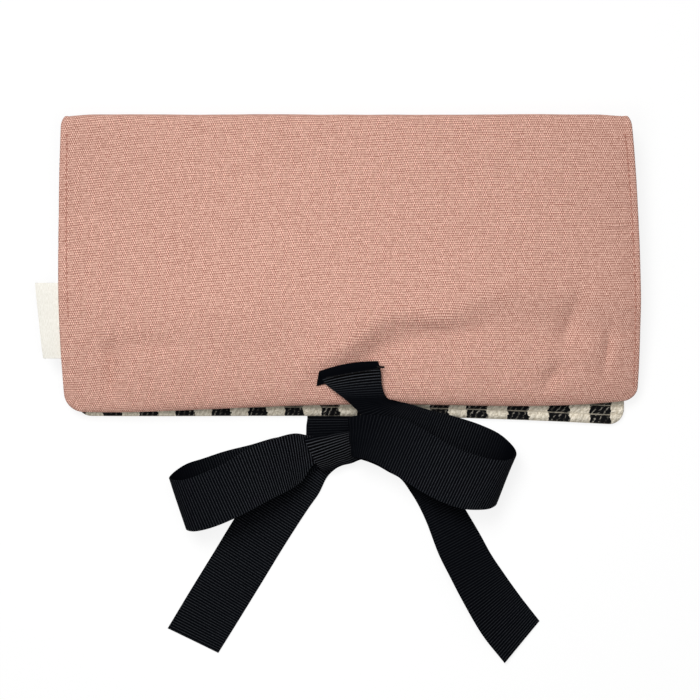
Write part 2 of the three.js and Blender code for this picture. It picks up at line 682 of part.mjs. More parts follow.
// A flat tie: both edges run as smooth curves through the stations.
function tieBody(list) {
  const edge = (side) =>
    new THREE.CatmullRomCurve3(
      list.map(([x, y, z, direction, lean, width]) => {
        const turn = THREE.MathUtils.degToRad(direction);
        const rise = THREE.MathUtils.degToRad(lean);
        const reach = (side * width) / 2;
        const offset = new THREE.Vector3(
          Math.cos(rise) * Math.cos(turn),
          Math.cos(rise) * Math.sin(turn),
          Math.sin(rise),
        );
        return new THREE.Vector3(x, y, z).addScaledVector(offset, reach);
      }),
    );
  const leftEdge = edge(-1);
  const rightEdge = edge(1);
  const steps = 2 * (list.length - 1);
  const sections = [];
  for (let step = 0; step <= steps; step += 1) {
    const left = leftEdge.getPoint(step / steps);
    const right = rightEdge.getPoint(step / steps);
    const along = leftEdge.getTangent(step / steps).add(rightEdge.getTangent(step / steps));
    const across = right.clone().sub(left);
    const outwards = across.clone().cross(along).normalize();
    outwards.multiplyScalar(RIBBON_THICKNESS / 2);
    sections.push([
      left.clone().add(outwards),
      left.clone().sub(outwards),
      right.clone().sub(outwards),
      right.clone().add(outwards),
    ]);
  }
  const tieOutline = [
    [0, 1],
    [0, 0],
    [1, 0],
    [1, 1],
  ];
  return loft(sections, tieOutline);
}
addPiece("flap_tie", tieBody(FLAP_TIE), "ribbon");
addPiece("back_tie", tieBody(BACK_TIE), "ribbon");

export default pouch;
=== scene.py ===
"""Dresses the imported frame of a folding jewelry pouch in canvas, lining, ribbon ties and a zip."""

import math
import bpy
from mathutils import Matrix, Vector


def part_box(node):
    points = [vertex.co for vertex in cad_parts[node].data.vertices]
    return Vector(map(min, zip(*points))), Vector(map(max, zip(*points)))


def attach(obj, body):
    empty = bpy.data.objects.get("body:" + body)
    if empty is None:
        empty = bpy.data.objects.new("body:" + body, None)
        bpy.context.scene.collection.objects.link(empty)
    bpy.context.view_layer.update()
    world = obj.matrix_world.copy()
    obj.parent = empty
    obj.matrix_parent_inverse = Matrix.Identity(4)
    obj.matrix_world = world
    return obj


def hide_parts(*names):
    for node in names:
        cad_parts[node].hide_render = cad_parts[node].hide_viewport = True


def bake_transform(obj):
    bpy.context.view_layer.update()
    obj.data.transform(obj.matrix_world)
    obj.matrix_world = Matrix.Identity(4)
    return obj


bl_info = {
    "name": "Jewelry Pouch",
    "version": (1, 0, 0),
    "blender": (4, 5, 0),
    "location": "3D View > Sidebar > Pouch",
    "description": "Builds a padded, folding jewelry pouch with ribbon ties around its frame",
    "category": "Object",
}

import bpy
import numpy as np
from bpy.props import FloatProperty, FloatVectorProperty, PointerProperty
from bpy.types import Operator, Panel, PropertyGroup
from mathutils import Vector
from numpy.polynomial import Polynomial

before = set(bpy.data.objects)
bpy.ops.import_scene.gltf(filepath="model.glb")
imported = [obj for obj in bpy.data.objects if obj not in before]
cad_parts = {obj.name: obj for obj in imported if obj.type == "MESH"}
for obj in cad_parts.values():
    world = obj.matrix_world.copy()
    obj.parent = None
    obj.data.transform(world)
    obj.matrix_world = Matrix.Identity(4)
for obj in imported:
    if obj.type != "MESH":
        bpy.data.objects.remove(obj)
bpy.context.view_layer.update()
MM = 0.001
CHART = "cloth_mm"
UP = np.array([0, 0, 1.0])

# Places along the ties: x, y, z, turn of the width, lean and width, in millimetres and degrees.
FLAP_TIE = (
    (-1.7, -55, 17.5, 10, 3, 27),
    (-0.8, -50, 18.8, 10, 3, 27),
    (-0.3, -48.3, 19.6, 10, 3, 27),
    (0.3, -49.8, 20.1, 10, 3, 27),
    (1.5, -53.6, 19.1, 9, 2, 26.2),
    (3.8, -58.2, 18, 5, 1, 22.5),
    (7.6, -63, 17.6, 2, 0, 19.2),
    (12.7, -66.3, 16.6, 13, 0, 18.8),
    (20.7, -72.8, 14, 50, 0, 19.3),
    (32.4, -79.1, 9.5, 66, 0, 23.2),
    (44.4, -83.3, 5.6, 69, 0, 25),
    (56.1, -87.1, 3.6, 69, 0, 25),
    (64.9, -91.4, 3.6, 69, 0, 25.2),
    (69.7, -95.8, 6.5, 68, 0, 25.4),
    (71.9, -99.3, 12.5, 69, 0, 25),
    (69.4, -101.6, 18.2, 64, 0, 25.6),
    (64.3, -102.3, 21, 61, 0, 25.6),
    (57.5, -101.6, 21.8, 64, 0, 25.5),
    (48.2, -98.8, 21.5, 64, 0, 25.2),
    (39.2, -94.6, 20.8, 65, 0, 24.8),
    (29.4, -88.6, 20, 66, 0, 24.7),
    (20.1, -83.3, 19.6, 67, 0, 23.6),
    (12.2, -80.8, 19.2, 70, 0, 21.4),
    (4.8, -80.2, 18.4, 82, 0, 19.6),
    (0.6, -80.9, 15.7, 95, 0, 18),
    (6.8, -84, 13.2, 97, 0, 15.7),
    (12.5, -86.3, 10, 92, 0, 15.4),
    (18.9, -89.1, 6.6, 84, 0, 16.2),
    (26.5, -92.1, 3.6, 73, 0, 17.9),
    (34.7, -98.4, 1.9, 56, 0, 21.4),
    (39.6, -107.9, 1.2, 29, 0, 18),
    (43.9, -116, 4.2, 25, -16, 19.2),
    (50.9, -130.5, 7, 24, -30, 24.4),
    (55.9, -140.1, 6.8, 23, -29, 24.8),
    (61.6, -149.9, 5.8, 30, -24, 25),
    (70.7, -164.2, 3.6, 42, -13, 25.4),
    (80.2, -176.4, 1.5, 50, -4, 25.4),
)
BACK_TIE = (
    (-6.8, -53, 0.3, 0, 0, 25.4),
    (-6.8, -62.3, 0.3, 0, 0, 25.4),
    (-6.8, -69.2, 0.3, 0, 0, 25.4),
    (-6.8, -72.8, 0.5, 0, 0, 25.4),
    (-7.2, -75.6, 1.3, 1, 0, 25.4),
    (-7.6, -78.2, 1.9, 2, 0, 24.8),
    (-8.2, -80.5, 2.7, 4, 0, 23.8),
    (-8.8, -81.5, 4.4, 6, 0, 23),
    (-9.5, -80.9, 6.6, 8, 0, 22.2),
    (-10.1, -80, 8.6, 10, 0, 21.6),
    (-9.6, -81.4, 10.2, 14, 0, 21),
    (-8.2, -84.6, 10.9, 19, 0, 20.6),
    (-6.4, -88.4, 10.3, 21, 0, 20.2),
    (-4.4, -91.6, 8, 20, 0, 20.2),
    (-2.2, -93.8, 5.4, 18, 0, 20.4),
    (-4, -92.8, 3.4, 18, 0, 18.8),
    (-7.5, -90.7, 2.9, 30, 0, 15),
    (-11.2, -88.9, 2.9, 70, 0, 13),
    (-16.3, -88.6, 2.9, 100, 0, 14.5),
    (-23.3, -90.5, 2.9, 108, 0, 20),
    (-29.6, -93.2, 2.8, 110, 0, 25),
    (-41.6, -96.8, 2.6, 110, 0, 25.4),
    (-53.2, -99.7, 2.5, 110, 0, 25.4),
    (-63.2, -103, 2.8, 110, 0, 25.4),
    (-70.7, -105.4, 4.6, 110, 0, 25.4),
    (-75.9, -108.5, 8.2, 109, 0, 25.2),
    (-78.5, -111.1, 13.5, 108, 0, 24.6),
    (-75.4, -111.9, 18.3, 110, 0, 24.8),
    (-69.9, -111.1, 20.2, 113, 0, 24.6),
    (-62.8, -108.7, 20.3, 114, 0, 24.6),
    (-52.7, -104.1, 19.2, 115, 0, 24.6),
    (-40.5, -97.3, 16.6, 110, 0, 25.3),
    (-30.4, -93, 12.8, 105, 0, 24.5),
    (-23.3, -90.2, 9.3, 98, 0, 22.1),
    (-17.4, -86.9, 7.6, 100, 0, 13.3),
    (-10.4, -87, 6.9, 99, 0, 10.3),
    (-4.3, -87, 6.6, 98, 0, 10.5),
    (-0.8, -87.3, 5.6, 98, 0, 10.5),
    (0.8, -87.7, 3.8, 99, 0, 10.5),
    (-1, -88.2, 1.7, 100, 0, 11),
    (-5.2, -89.4, 1.1, 112, 0, 11),
    (-10.3, -91.3, 0.9, 132, 0, 12.5),
    (-16.4, -94.8, 0.8, 142, 0, 16),
    (-22.9, -101.8, 0.7, 147, 0, 21),
    (-30.1, -107.6, 0.6, 148, 0, 26.2),
    (-40.4, -123.3, 0.5, 148, 0, 26.4),
    (-52.5, -143.1, 0.5, 148, 0, 26.4),
    (-62.7, -159.7, 0.5, 150, 0, 26.4),
    (-72.6, -175.9, 0.5, 154, 0, 26.2),
)

# Painted light along the ties' ribs: number of the station and a share. Above 0 the rib tops are
# brighter and the grooves darker, a painted highlight; below 0 the rib tops fade to the groove
# colour, a painted shade in the folds and inside the loops.
FLAP_RIB_LIGHT = (
    (2, 0.8), (4, 0.9), (5, 0.1), (6, -0.9), (7, -0.8), (8, -0.1), (10, 0.1), (11, -0.2),
    (12, -0.7), (13, -1), (13.8, -1), (14.2, 0.15), (19, 0.1), (21, -0.3), (23, -0.8),
    (27, -0.8), (30, -0.5), (33, -0.45), (35, -0.15), (36, 0),
)
BACK_RIB_LIGHT = (
    (2, 0), (3, -0.1), (4, -0.6), (9, -1), (10, 0.8), (13, 1), (14, -0.5), (16, -0.5), (21, 0),
    (23, -0.6), (24, -0.9), (25.8, -1), (26.2, -0.2), (28, -0.15), (31, 0.25), (34, 0.4),
    (40, 0.1), (48, 0),
)

# Sides of the flap and the back: share of the way from the front to the fold, left and right.
FLAP_SIDES = (
    (0, 130.8, 132.6), (0.06, 131.3, 133), (0.16, 131.9, 133.3), (0.35, 132.6, 132.9),
    (0.62, 132.4, 132), (0.85, 131.9, 130), (1, 130.5, 127.7),
)
BACK_SIDES = (
    (0, 126, 127.4), (0.35, 127.8, 127.5), (0.7, 129.4, 127.6), (1, 130.5, 127.7),
)

# Front edges of the flap and the back: x, then y.
FLAP_EDGE = (
    (-131, -69.2), (-113, -69.4), (-79, -68.8), (-54, -67.4), (-30, -66.6), (0, -66.1),
    (37, -65.9), (90, -66.4), (120, -65.1), (133, -63.4),
)
BACK_EDGE = (
    (-126, -71.4), (-60, -71.5), (0, -71.6), (40, -72.1), (70, -72.9), (98, -74.1), (113, -75),
    (127, -75.6),
)

# Break in the flap above the sewn tie: x and y of its line, its width and depth, in millimetres.
FLAP_BREAK = (
    (-26, -56, 12, 0), (-9, -46.8, 12, 4.2), (0, -42.6, 14, 6.2), (9, -36.6, 16.5, 6.8),
    (16, -32, 17.5, 6.8), (25, -29, 15.5, 6.2), (44, -29.3, 11.5, 5.4), (55, -25.5, 16, 4.6),
    (64, -22, 19, 4.6), (72, -21, 22, 4.8), (100, -23, 23, 4.8), (132, -25, 18, 1.6),
)

# How far the flap's front curls down: distance from the middle and depth.
FLAP_CURL = (
    (-132, 0), (-112, 0.8), (-60, 1.3), (0, 1), (30, 1.8), (60, 2), (98, 2.3), (114, 1.2),
    (133, 0),
)

# Folds in the padded flap: x, y, reach along and across, turn in degrees and depth.
FLAP_FOLDS = (
    (36, -30.2, 12, 1.5, -2, 0.8), (101, -27, 13, 4.5, 72, 2.2), (92, -54, 7, 4, 60, 2),
    (118, -40, 10, 2.6, 84, 1.9), (90, -44, 6, 5, 0, -0.8), (109, -41, 7, 4, 70, -0.7),
    (124, 14.5, 7, 1.3, -3, 0.7), (-128, 7, 7, 1.3, 3, 0.6), (-109, -50, 13, 3.5, 88, 3.2),
    (-109, -41, 5, 4, 0, 1.2), (-88, -38, 16, 4.5, 4, 1.1), (-40, -40, 24, 5, 4, 0.5),
)

# Spline steps from station to station of a tie, and the station where its sewn end is folded.
STATION_STEPS = 24
FLAP_HEM = 2

# Distances from a panel's rim at which its cloth is divided.
RIM_INSETS = MM * np.array(
    (0, 0.12, 0.35, 0.7, 1.1, 1.6, 2.4, 3.2, 3.7, 4.2, 4.7, 5.4, 6.6, 8.4)
)

# Radii of the free corners, left and right.
FLAP_CORNERS = (0.008, 0.006)
BACK_CORNERS = (0.0065, 0.0075)

# Mesh steps of the canvas, and how far the topstitching stays from the free edge.
FLAP_STEP = 0.0015
BACK_STEP = 0.0028
STITCH_STOP = 0.006
STITCH_STOP_LEFT = 0.042

# Distance of the topstitching from the sides; for the flap with its change up to the fold.
BACK_INSET = 0.0042
FLAP_INSETS = ((0.0052, -0.0022), (0.0022, 0.0017))

# Distance of the pockets' seams from the edge of the cloth.
SEAM = 0.002


def shade(red, green, blue):
    """Linear colour of a shade read from 0 to 255."""
    linear = []
    for level in (red, green, blue):
        share = level / 255
        linear.append(share / 12.92 if share <= 0.04045 else ((share + 0.055) / 1.055) ** 2.4)
    return (*linear, 1.0)


def size(name, description, default):
    return FloatProperty(
        name=name, description=description, default=default, unit="LENGTH", precision=5
    )


def power(name, description, default):
    return FloatProperty(name=name, description=description, default=default, unit="POWER")


def colour(name, description, default):
    return FloatVectorProperty(
        name=name, description=description, default=default, size=4, min=0, max=1, subtype="COLOR"
    )


class PouchSizes(PropertyGroup):
    """Sizes of the folded panels and their cloth."""

    fold_width: size("Fold width", "Width of the pouch along its fold", 0.259)
    fold_y: size("Fold place", "Distance of the spine's outside from the middle", 0.0665)
    height: size("Closed height", "Height of the closed pouch at its spine", 0.024)
    panel: size("Panel thickness", "Thickness of a padded panel", 0.0045)
    cloth: size("Cloth thickness", "Thickness of the canvas and the lining", 0.0007)
    fold_round: size("Fold round", "Outside radius of both folds", 0.0044)
    flap_front: size("Flap front", "Place of the flap's front edge", -0.0663)
    back_front: size("Back front", "Place of the back panel's front edge", -0.0725)
    front_drop: size("Front drop", "How far the flap sinks towards its front", 0.0105)
    side_drop: size("Side drop", "How far the flap sinks towards its sides", 0.0045)
    stitch: size("Stitch length", "Length of one stitch with its gap", 0.003)
    thread: size("Thread", "Diameter of the sewing thread", 0.0005)


class TieSizes(PropertyGroup):
    """Sizes of the ribbon."""

    width: size("Ribbon width", "Width of the ribbon", 0.0254)
    thickness: size("Ribbon thickness", "Thickness of the ribbon", 0.0005)
    rib: size("Rib pitch", "Distance from rib to rib", 0.00122)
    rib_depth: size("Rib depth", "Depth of the grooves between ribs", 0.00014)


class WeaveSizes(PropertyGroup):
    """Sizes of the woven patterns."""

    warp: size("Canvas warp", "Distance from thread to thread across the canvas", 0.000505)
    weft: size("Canvas weft", "Distance from thread to thread along the canvas", 0.00104)
    row: size("Lining row", "Height of one corded row in the lining", 0.0042)
    row_depth: size("Lining row depth", "Depth of the grooves between corded rows", 0.0005)
    bar_pitch: size("Bar pitch", "Distance from black bar to black bar", 0.01685)
    bar_start: size("Bar start", "Middle of the first bar left of the middle", -0.0087)


class PouchColours(PropertyGroup):
    """Colours of the cloth, the ribbon and the metal."""

    canvas_light: colour("Canvas light", "Tops of the canvas threads", shade(250, 206, 189))
    canvas_dark: colour("Canvas dark", "Gaps between the canvas threads", shade(140, 87, 72))
    cream: colour("Lining cream", "Light cord of the lining", shade(231, 223, 206))
    cream_dark: colour("Lining cream shade", "Gaps in the light cord", shade(186, 175, 155))
    black: colour("Lining black", "Dark cord of the lining", shade(10, 10, 12))
    black_gap: colour("Lining black gaps", "Gaps in the dark cord", shade(140, 135, 125))
    # Rib tops are painted highlights; the second pair paints a stronger highlight, with darker
    # grooves, where the tie is painted as lit.
    ribbon: colour("Ribbon", "Grooves of the loose ribbon", shade(5, 6, 9))
    rib_highlight: colour("Ribbon ribs", "Tops of the ribs where it lies loose", shade(47, 49, 53))
    painted_rib_light: colour("Tight ribbon", "Grooves of the ribbon pulled tight", shade(2, 2, 2))
    strong_rib_highlight: colour("Tight ribs", "Tops of the ribs where it is pulled tight", shade(72, 74, 79))
    ribbon_thread: colour("Ribbon thread", "Thread at the sewn end of the tie", shade(5, 4, 5))
    label: colour("Label", "Woven label", shade(240, 238, 231))
    label_dark: colour("Label shade", "Gaps between the label's threads", shade(214, 210, 198))
    # Thread tone darkened to stand in for the shade of its needle holes and of the groove it lies
    # in: partly the thread's own colour, partly painted shade.
    thread: colour("Thread", "Topstitching thread", shade(172, 120, 105))
    lining_thread: colour("Lining thread", "Thread of the pockets", shade(222, 212, 192))
    zip_tape: colour("Zip tape", "Woven zip tape", shade(32, 32, 35))
    zip_teeth: colour("Zip teeth", "Moulded teeth", shade(26, 26, 28))
    brass: colour("Brass", "Slider, pull and stops", shade(200, 164, 104))
    floor: colour("Floor", "Floor under the pouch", shade(250, 250, 250))


class StageSettings(PropertyGroup):
    """Camera and lights."""

    camera_x: size("Camera across", "Camera's place across", 0.00035)
    camera_y: size("Camera along", "Camera's place along", -0.0409)
    camera_height: size("Camera height", "Camera's height above the floor", 0.9)
    lens: FloatProperty(
        name="Lens", description="Focal length", default=99.57, unit="CAMERA", subtype="NONE"
    )
    sky: FloatProperty(name="Sky", description="Level of the light from all sides", default=0.28)
    window: power("Window", "Power of the large light beyond the fold", 31.0)
    lamp: power("Lamp", "Power of the small lamp overhead", 0.47)


def ease(share):
    """Smooth step from 0 to 1."""
    held = np.clip(share, 0.0, 1.0)
    return held * held * (3.0 - 2.0 * held)


def bell(distance, reach):
    """Bell curve: 1 at no distance, fading with its reach."""
    return np.exp(-((distance / reach) ** 2))


def round_edge(distance, radius):
    """Fullness of a rounded edge: 0 at the rim, 1 from its radius inwards."""
    return np.sqrt(np.maximum(0.0, 1 - (1 - np.minimum(distance / radius, 1.0)) ** 2))


def ripple(across, along, reach, seed):
    """Slow unevenness between about -1 and 1, the same each time."""
    chance = np.random.default_rng(seed)
    total = np.zeros(np.broadcast(across, along).shape)
    for _ in range(7):
        turn = chance.uniform(0, math.pi)
        pitch = reach * chance.uniform(0.7, 1.6)
        phase = chance.uniform(0, 2 * math.pi)
        travel = across * math.cos(turn) + along * math.sin(turn)
        total = total + np.sin(2 * math.pi * travel / pitch + phase)
    return total / 4.0


def dented(x, y, dents):
    """Depth of soft dents at a place."""
    depth = np.zeros(np.broadcast(x, y).shape)
    for place_x, place_y, reach, wide, turn, deep in dents:
        cosine, sine = math.cos(math.radians(turn)), math.sin(math.radians(turn))
        over_x = x / MM - place_x
        over_y = y / MM - place_y
        along = over_x * cosine + over_y * sine
        across = over_y * cosine - over_x * sine
        depth = depth + deep * MM * bell(along, reach) * bell(across, wide)
    return depth


def unit(vectors):
    lengths = np.linalg.norm(vectors, axis=-1, keepdims=True)
    return vectors / np.maximum(lengths, 1e-12)


def grid_normals(points):
    return unit(np.cross(np.gradient(points, axis=1), np.gradient(points, axis=0)))


def add_mesh(name, points, faces, chart, finish, crease=50):
    """New mesh object with its chart in millimetres of cloth."""
    mesh = bpy.data.meshes.new(name)
    mesh.from_pydata(points.tolist(), [], faces)
    layer = mesh.uv_layers.new(name=CHART)
    corners = np.empty(len(mesh.loops), dtype=np.int32)
    mesh.loops.foreach_get("vertex_index", corners)
    layer.data.foreach_set("uv", (chart[corners] / MM).astype(np.float32).ravel())
    mesh.shade_smooth()
    mesh.set_sharp_from_angle(angle=math.radians(crease))
    mesh.materials.append(finish)
    mesh.validate()
    made = bpy.data.objects.new(name, mesh)
    bpy.context.scene.collection.objects.link(made)
    return made


def add_shell(name, face, rear, chart, finish):
    """A closed sheet between two like grids of points."""
    rows, columns = face.shape[:2]
    count = rows * columns
    points = np.concatenate([face.reshape(-1, 3), rear.reshape(-1, 3)])
    index = np.arange(count).reshape(rows, columns)
    corners = (index[:-1, :-1], index[:-1, 1:], index[1:, 1:], index[1:, :-1])
    front = np.stack(corners, axis=-1).reshape(-1, 4)
    ring = np.concatenate([index[0, :-1], index[:-1, -1], index[-1, :0:-1], index[:0:-1, 0]])
    after = np.roll(ring, -1)
    walls = np.stack([after, ring, ring + count, after + count], axis=-1)
    faces = np.concatenate([front, front[:, ::-1] + count, walls]).tolist()
    return add_mesh(name, points, faces, np.tile(chart.reshape(-1, 2), (2, 1)), finish)


def add_cloth(name, face, thickness, chart, finish):
    """A closed cloth of one thickness behind a grid of points."""
    return add_shell(name, face, face - grid_normals(face) * thickness, chart, finish)


def add_laid(name, columns, rows, height, thickness, finish):
    """A cloth laid over a height, with its chart counted from the front edge."""
    x, y = np.meshgrid(columns, rows)
    face = np.stack([x, y, height(x, y)], axis=-1)
    return add_cloth(name, face, thickness, np.stack([x, y - rows[0]], axis=-1), finish)


def tube_mesh(line, radii, side, sides=6):
    """Points and faces of a closed tube along a line; side is a vector across it."""
    along = unit(np.gradient(line, axis=0))
    across = unit(np.cross(along, side))
    up = np.cross(across, along)
    turns = np.linspace(0, 2 * math.pi, sides, endpoint=False)[:, None]
    ring = across[:, None] * np.cos(turns) + up[:, None] * np.sin(turns)
    points = (line[:, None] + ring * np.asarray(radii)[:, None, None]).reshape(-1, 3)
    index = np.arange(len(points)).reshape(len(line), sides)
    after = np.roll(index, -1, axis=1)
    walls = np.stack([index[:-1], after[:-1], after[1:], index[1:]], axis=-1).reshape(-1, 4)
    return points, [*walls.tolist(), index[0, ::-1].tolist(), index[-1].tolist()]


def add_tubes(name, tubes, finish):
    """Many small tubes, such as stitches, as one object."""
    faces = []
    count = 0
    for spots, sides in tubes:
        faces.extend([corner + count for corner in side] for side in sides)
        count += len(spots)
    points = np.concatenate([spots for spots, _ in tubes])
    return add_mesh(name, points, faces, points[:, :2], finish, crease=70)


def stitch(spots, away, thread, bulge, taper):
    """One stitch over a row of spots; it dips into the cloth at both ends."""
    arch = np.sin(math.pi * np.linspace(0, 1, len(spots)))
    sink = 0.35
    lift = thread * (bulge * arch**0.7 - sink)
    radii = thread / 2 * (1 - taper + taper * arch)
    return tube_mesh(spots + away * lift[:, None], radii, away)


def row_of_stitches(line, sizes):
    """Stitches on a line of points that lies level."""
    steps = np.append(0, np.cumsum(np.linalg.norm(np.diff(line, axis=0), axis=1)))
    count = max(1, int(steps[-1] / sizes.stitch))
    tubes = []
    for number in range(count):
        places = np.linspace(number + 0.1, number + 0.9, 5) * steps[-1] / count
        spots = resampled(line, steps, places)
        tubes.append(stitch(spots, UP, sizes.thread, bulge=0.8, taper=0))
    return tubes


def sewn_round(low, high, rows, ends, fine, height, sizes):
    """Stitches along two rows across a laid cloth and up both its sides."""
    left, right = low.x + SEAM, high.x - SEAM
    seams = [((left, y), (right, y), 200) for y in rows]
    seams += [((x, ends[0]), (x, ends[1]), fine) for x in (left, right)]
    tubes = []
    for first, last, count in seams:
        x, y = np.linspace(first, last, count).T
        tubes += row_of_stitches(np.stack([x, y, height(x, y)], axis=-1), sizes)
    return tubes


def operation(kind):
    """A way to count with levels."""
    return lambda level, *others: level.make.math(kind, level, *others)


class Level:
    """A value in a node tree; sums and products of levels become nodes."""

    __add__ = operation("ADD")
    __sub__ = operation("SUBTRACT")
    __mul__ = operation("MULTIPLY")
    __truediv__ = operation("DIVIDE")
    __abs__ = operation("ABSOLUTE")
    floor = operation("FLOOR")
    fract = operation("FRACT")
    highest = operation("MAXIMUM")

    def __init__(self, make, socket):
        self.make = make
        self.socket = socket

    def wave(self, pitch):
        """Sine of a place with the pitch given."""
        return self.make.math("SINE", self * (2 * math.pi / pitch))

    def spread(self, low, high, first=0.0, last=1.0):
        """Value from low to high brought to first to last, held at both ends."""
        inputs = {0: self, 1: low, 2: high, 3: first, 4: last}
        return self.make.level("ShaderNodeMapRange", inputs, clamp=True)


class Nodes:
    """A node tree in the making."""

    def __init__(self, owner):
        owner.use_nodes = True
        self.tree = owner.node_tree

    def put(self, socket, value):
        if isinstance(value, Level):
            self.tree.links.new(value.socket, socket)
        else:
            socket.default_value = value

    def node(self, kind, inputs=(), **settings):
        made = self.tree.nodes.new(kind)
        for key, value in settings.items():
            setattr(made, key, value)
        for key, value in dict(inputs).items():
            self.put(made.inputs[key], value)
        return made

    def level(self, kind, inputs=(), output=0, **settings):
        """One output of a new node."""
        return Level(self, self.node(kind, inputs, **settings).outputs[output])

    def math(self, operation, *values):
        return self.level("ShaderNodeMath", enumerate(values), operation=operation)

    def vector(self, *numbers):
        return self.level("ShaderNodeCombineXYZ", enumerate(numbers))

    def parts(self, vector):
        """The three numbers of a vector."""
        split = self.node("ShaderNodeSeparateXYZ", {"Vector": vector})
        return [Level(self, socket) for socket in split.outputs]

    def chart(self):
        """Place on the cloth in millimetres: across and along."""
        return self.parts(self.level("ShaderNodeUVMap", uv_map=CHART))[:2]

    def solid_place(self):
        """Place in the piece's own space."""
        return self.level("ShaderNodeTexCoord", output="Object")

    def noise(self, *place, scale=1.0, detail=2.0):
        """Soft noise at a place, given as a vector or as two or three numbers."""
        vector = place[0] if len(place) == 1 else self.vector(*place)
        inputs = {"Vector": vector, "Scale": scale, "Detail": detail}
        return self.level("ShaderNodeTexNoise", inputs)

    def chance(self, column, row):
        """A number from 0 to 1 by chance, one for each cell."""
        inputs = {"Vector": self.vector(column, row)}
        return self.level("ShaderNodeTexWhiteNoise", inputs, noise_dimensions="2D")

    def mix(self, share, first, second, kind="MIX"):
        inputs = {0: share, 6: first, 7: second}
        return self.level("ShaderNodeMix", inputs, 2, data_type="RGBA", blend_type=kind)

    def tint(self, tone, share):
        """A colour made lighter or darker by a number near 1."""
        grey = self.level("ShaderNodeCombineColor", {0: share, 1: share, 2: share})
        return self.mix(1.0, tone, grey, "MULTIPLY")

    def seen(self):
        """1 for rays that show a thing itself, mirrored or through something clear."""
        path = self.node("ShaderNodeLightPath").outputs
        seen = Level(self, path["Is Camera Ray"])
        for kind in ("Is Glossy Ray", "Is Transmission Ray"):
            seen = seen.highest(Level(self, path[kind]))
        return seen


class Finish(Nodes):
    """A material in the making."""

    def __init__(self, name):
        self.material = bpy.data.materials.new(name)
        super().__init__(self.material)
        self.shader = self.tree.nodes["Principled BSDF"]

    def bump(self, height, distance, strength):
        inputs = {"Height": height, "Distance": distance, "Strength": strength}
        self.finish(Normal=self.level("ShaderNodeBump", inputs))

    def round_edges(self, radius):
        self.finish(Normal=self.level("ShaderNodeBevel", {"Radius": radius}, samples=4))

    def finish(self, **sockets):
        for key, value in sockets.items():
            self.put(self.shader.inputs[key.replace("_", " ")], value)
        return self.material


def canvas_finish(colours, weave):
    """Plain woven cotton canvas with thick and thin threads."""
    make = Finish("canvas")
    across, along = make.chart()
    slant, bow = 0.045, 0.00022
    skew = across * (across * bow - slant) + along
    sway = make.noise(across, along, scale=0.05)
    warp_place = (sway * 1.2 + across) / (weave.warp / MM)
    weft_place = (sway * 1.5 + skew) / (weave.weft / MM)
    crossing = warp_place.wave(2.0) * weft_place.wave(2.0)
    weft = weft_place.floor()
    chance = make.chance(warp_place.floor(), weft)
    streak = make.noise(across * 0.12, weft * 5.3, detail=1.0)
    fuzz = make.noise(across, along, scale=2.6, detail=1.0) - 0.5
    line = weft_place.wave(1.0) * streak.spread(0.25, 0.75, 0.12, 0.56)
    level = crossing * chance.spread(0.0, 1.0, 0.1, 1.1) + line
    level = fuzz * 1.15 + level
    shown = make.mix(level.spread(-0.64, 0.98), colours.canvas_dark, colours.canvas_light)
    make.bump(abs(crossing) + line, distance=0.0002, strength=0.6)
    return make.finish(Base_Color=shown, Roughness=0.92, Specular_IOR_Level=0.08)


def lining_finish(colours, weave):
    """Corded cotton in cream and black bars: rows of twisted cord."""
    make = Finish("striped lining")
    across, along = make.chart()
    pitch = weave.bar_pitch / MM
    strands = 7
    grain = make.noise(across, along, scale=0.9, detail=3.0)

    # The rows, with the slant of the cord and of the bars in every other row
    rows = along / (weave.row / MM)
    number = rows.floor()
    inside = rows.fract() - 0.5
    crest = make.math("COSINE", inside * math.pi)
    odd = make.math("FLOORED_MODULO", number, 2.0)
    steep = odd * -1.4 - 1.7
    lean = odd * -0.8 + 0.6

    # The place across, drawn together to the right, and the strand that lies there
    drawn_from, drawn = 55.0, -0.115
    pulled = (across - drawn_from).highest(0.0) * drawn
    place = (grain - 0.5) * 1.9 + (across - weave.bar_start / MM + pulled)
    column = inside * lean + place
    place = inside * steep + place
    turns = place / (pitch / strands) + 2.0
    strand = make.math("SINE", turns.fract() * math.pi)
    column = ((strand * 0.6 + column) / pitch + 0.48).fract() - 0.5
    half_bar = 0.255
    bar = make.math("LESS_THAN", abs(column), half_bar)
    chance = make.chance(turns.floor(), number)
    fleck = make.noise(place * 1.5, along * 0.8, number, detail=1.0)

    # The colours of both kinds of bar and of the gaps between the rows
    solid = strand.spread(0.05, 0.45) * crest.spread(0.06, 0.4)
    solid = solid.spread(0.0, 1.0, 0.3, 1.0) * fleck.spread(0.34, 0.56)
    cream = make.mix(solid, colours.cream_dark, colours.cream)
    dense = strand.spread(0.12, 0.6) * crest.spread(0.08, 0.3)
    dense = dense.highest(fleck.spread(0.44, 0.52))
    gap = make.tint(colours.black_gap, chance.spread(0.0, 1.0, 0.2, 1.5))
    black = make.mix(dense, gap, colours.black)
    between = crest.spread(0.06, 0.22, 1.0, 0.0) * fleck.spread(0.35, 0.6)
    black = make.mix(between * 0.8, black, colours.cream_dark)
    shown = make.tint(make.mix(bar, cream, black), chance.spread(0.0, 1.0, 0.9, 1.06))
    height = strand * 0.7 + crest * 0.5 + grain * 0.3 + fleck * 0.7
    make.bump(height, distance=0.0006, strength=0.6)
    return make.finish(Base_Color=shown, Roughness=0.93, Specular_IOR_Level=0.08)


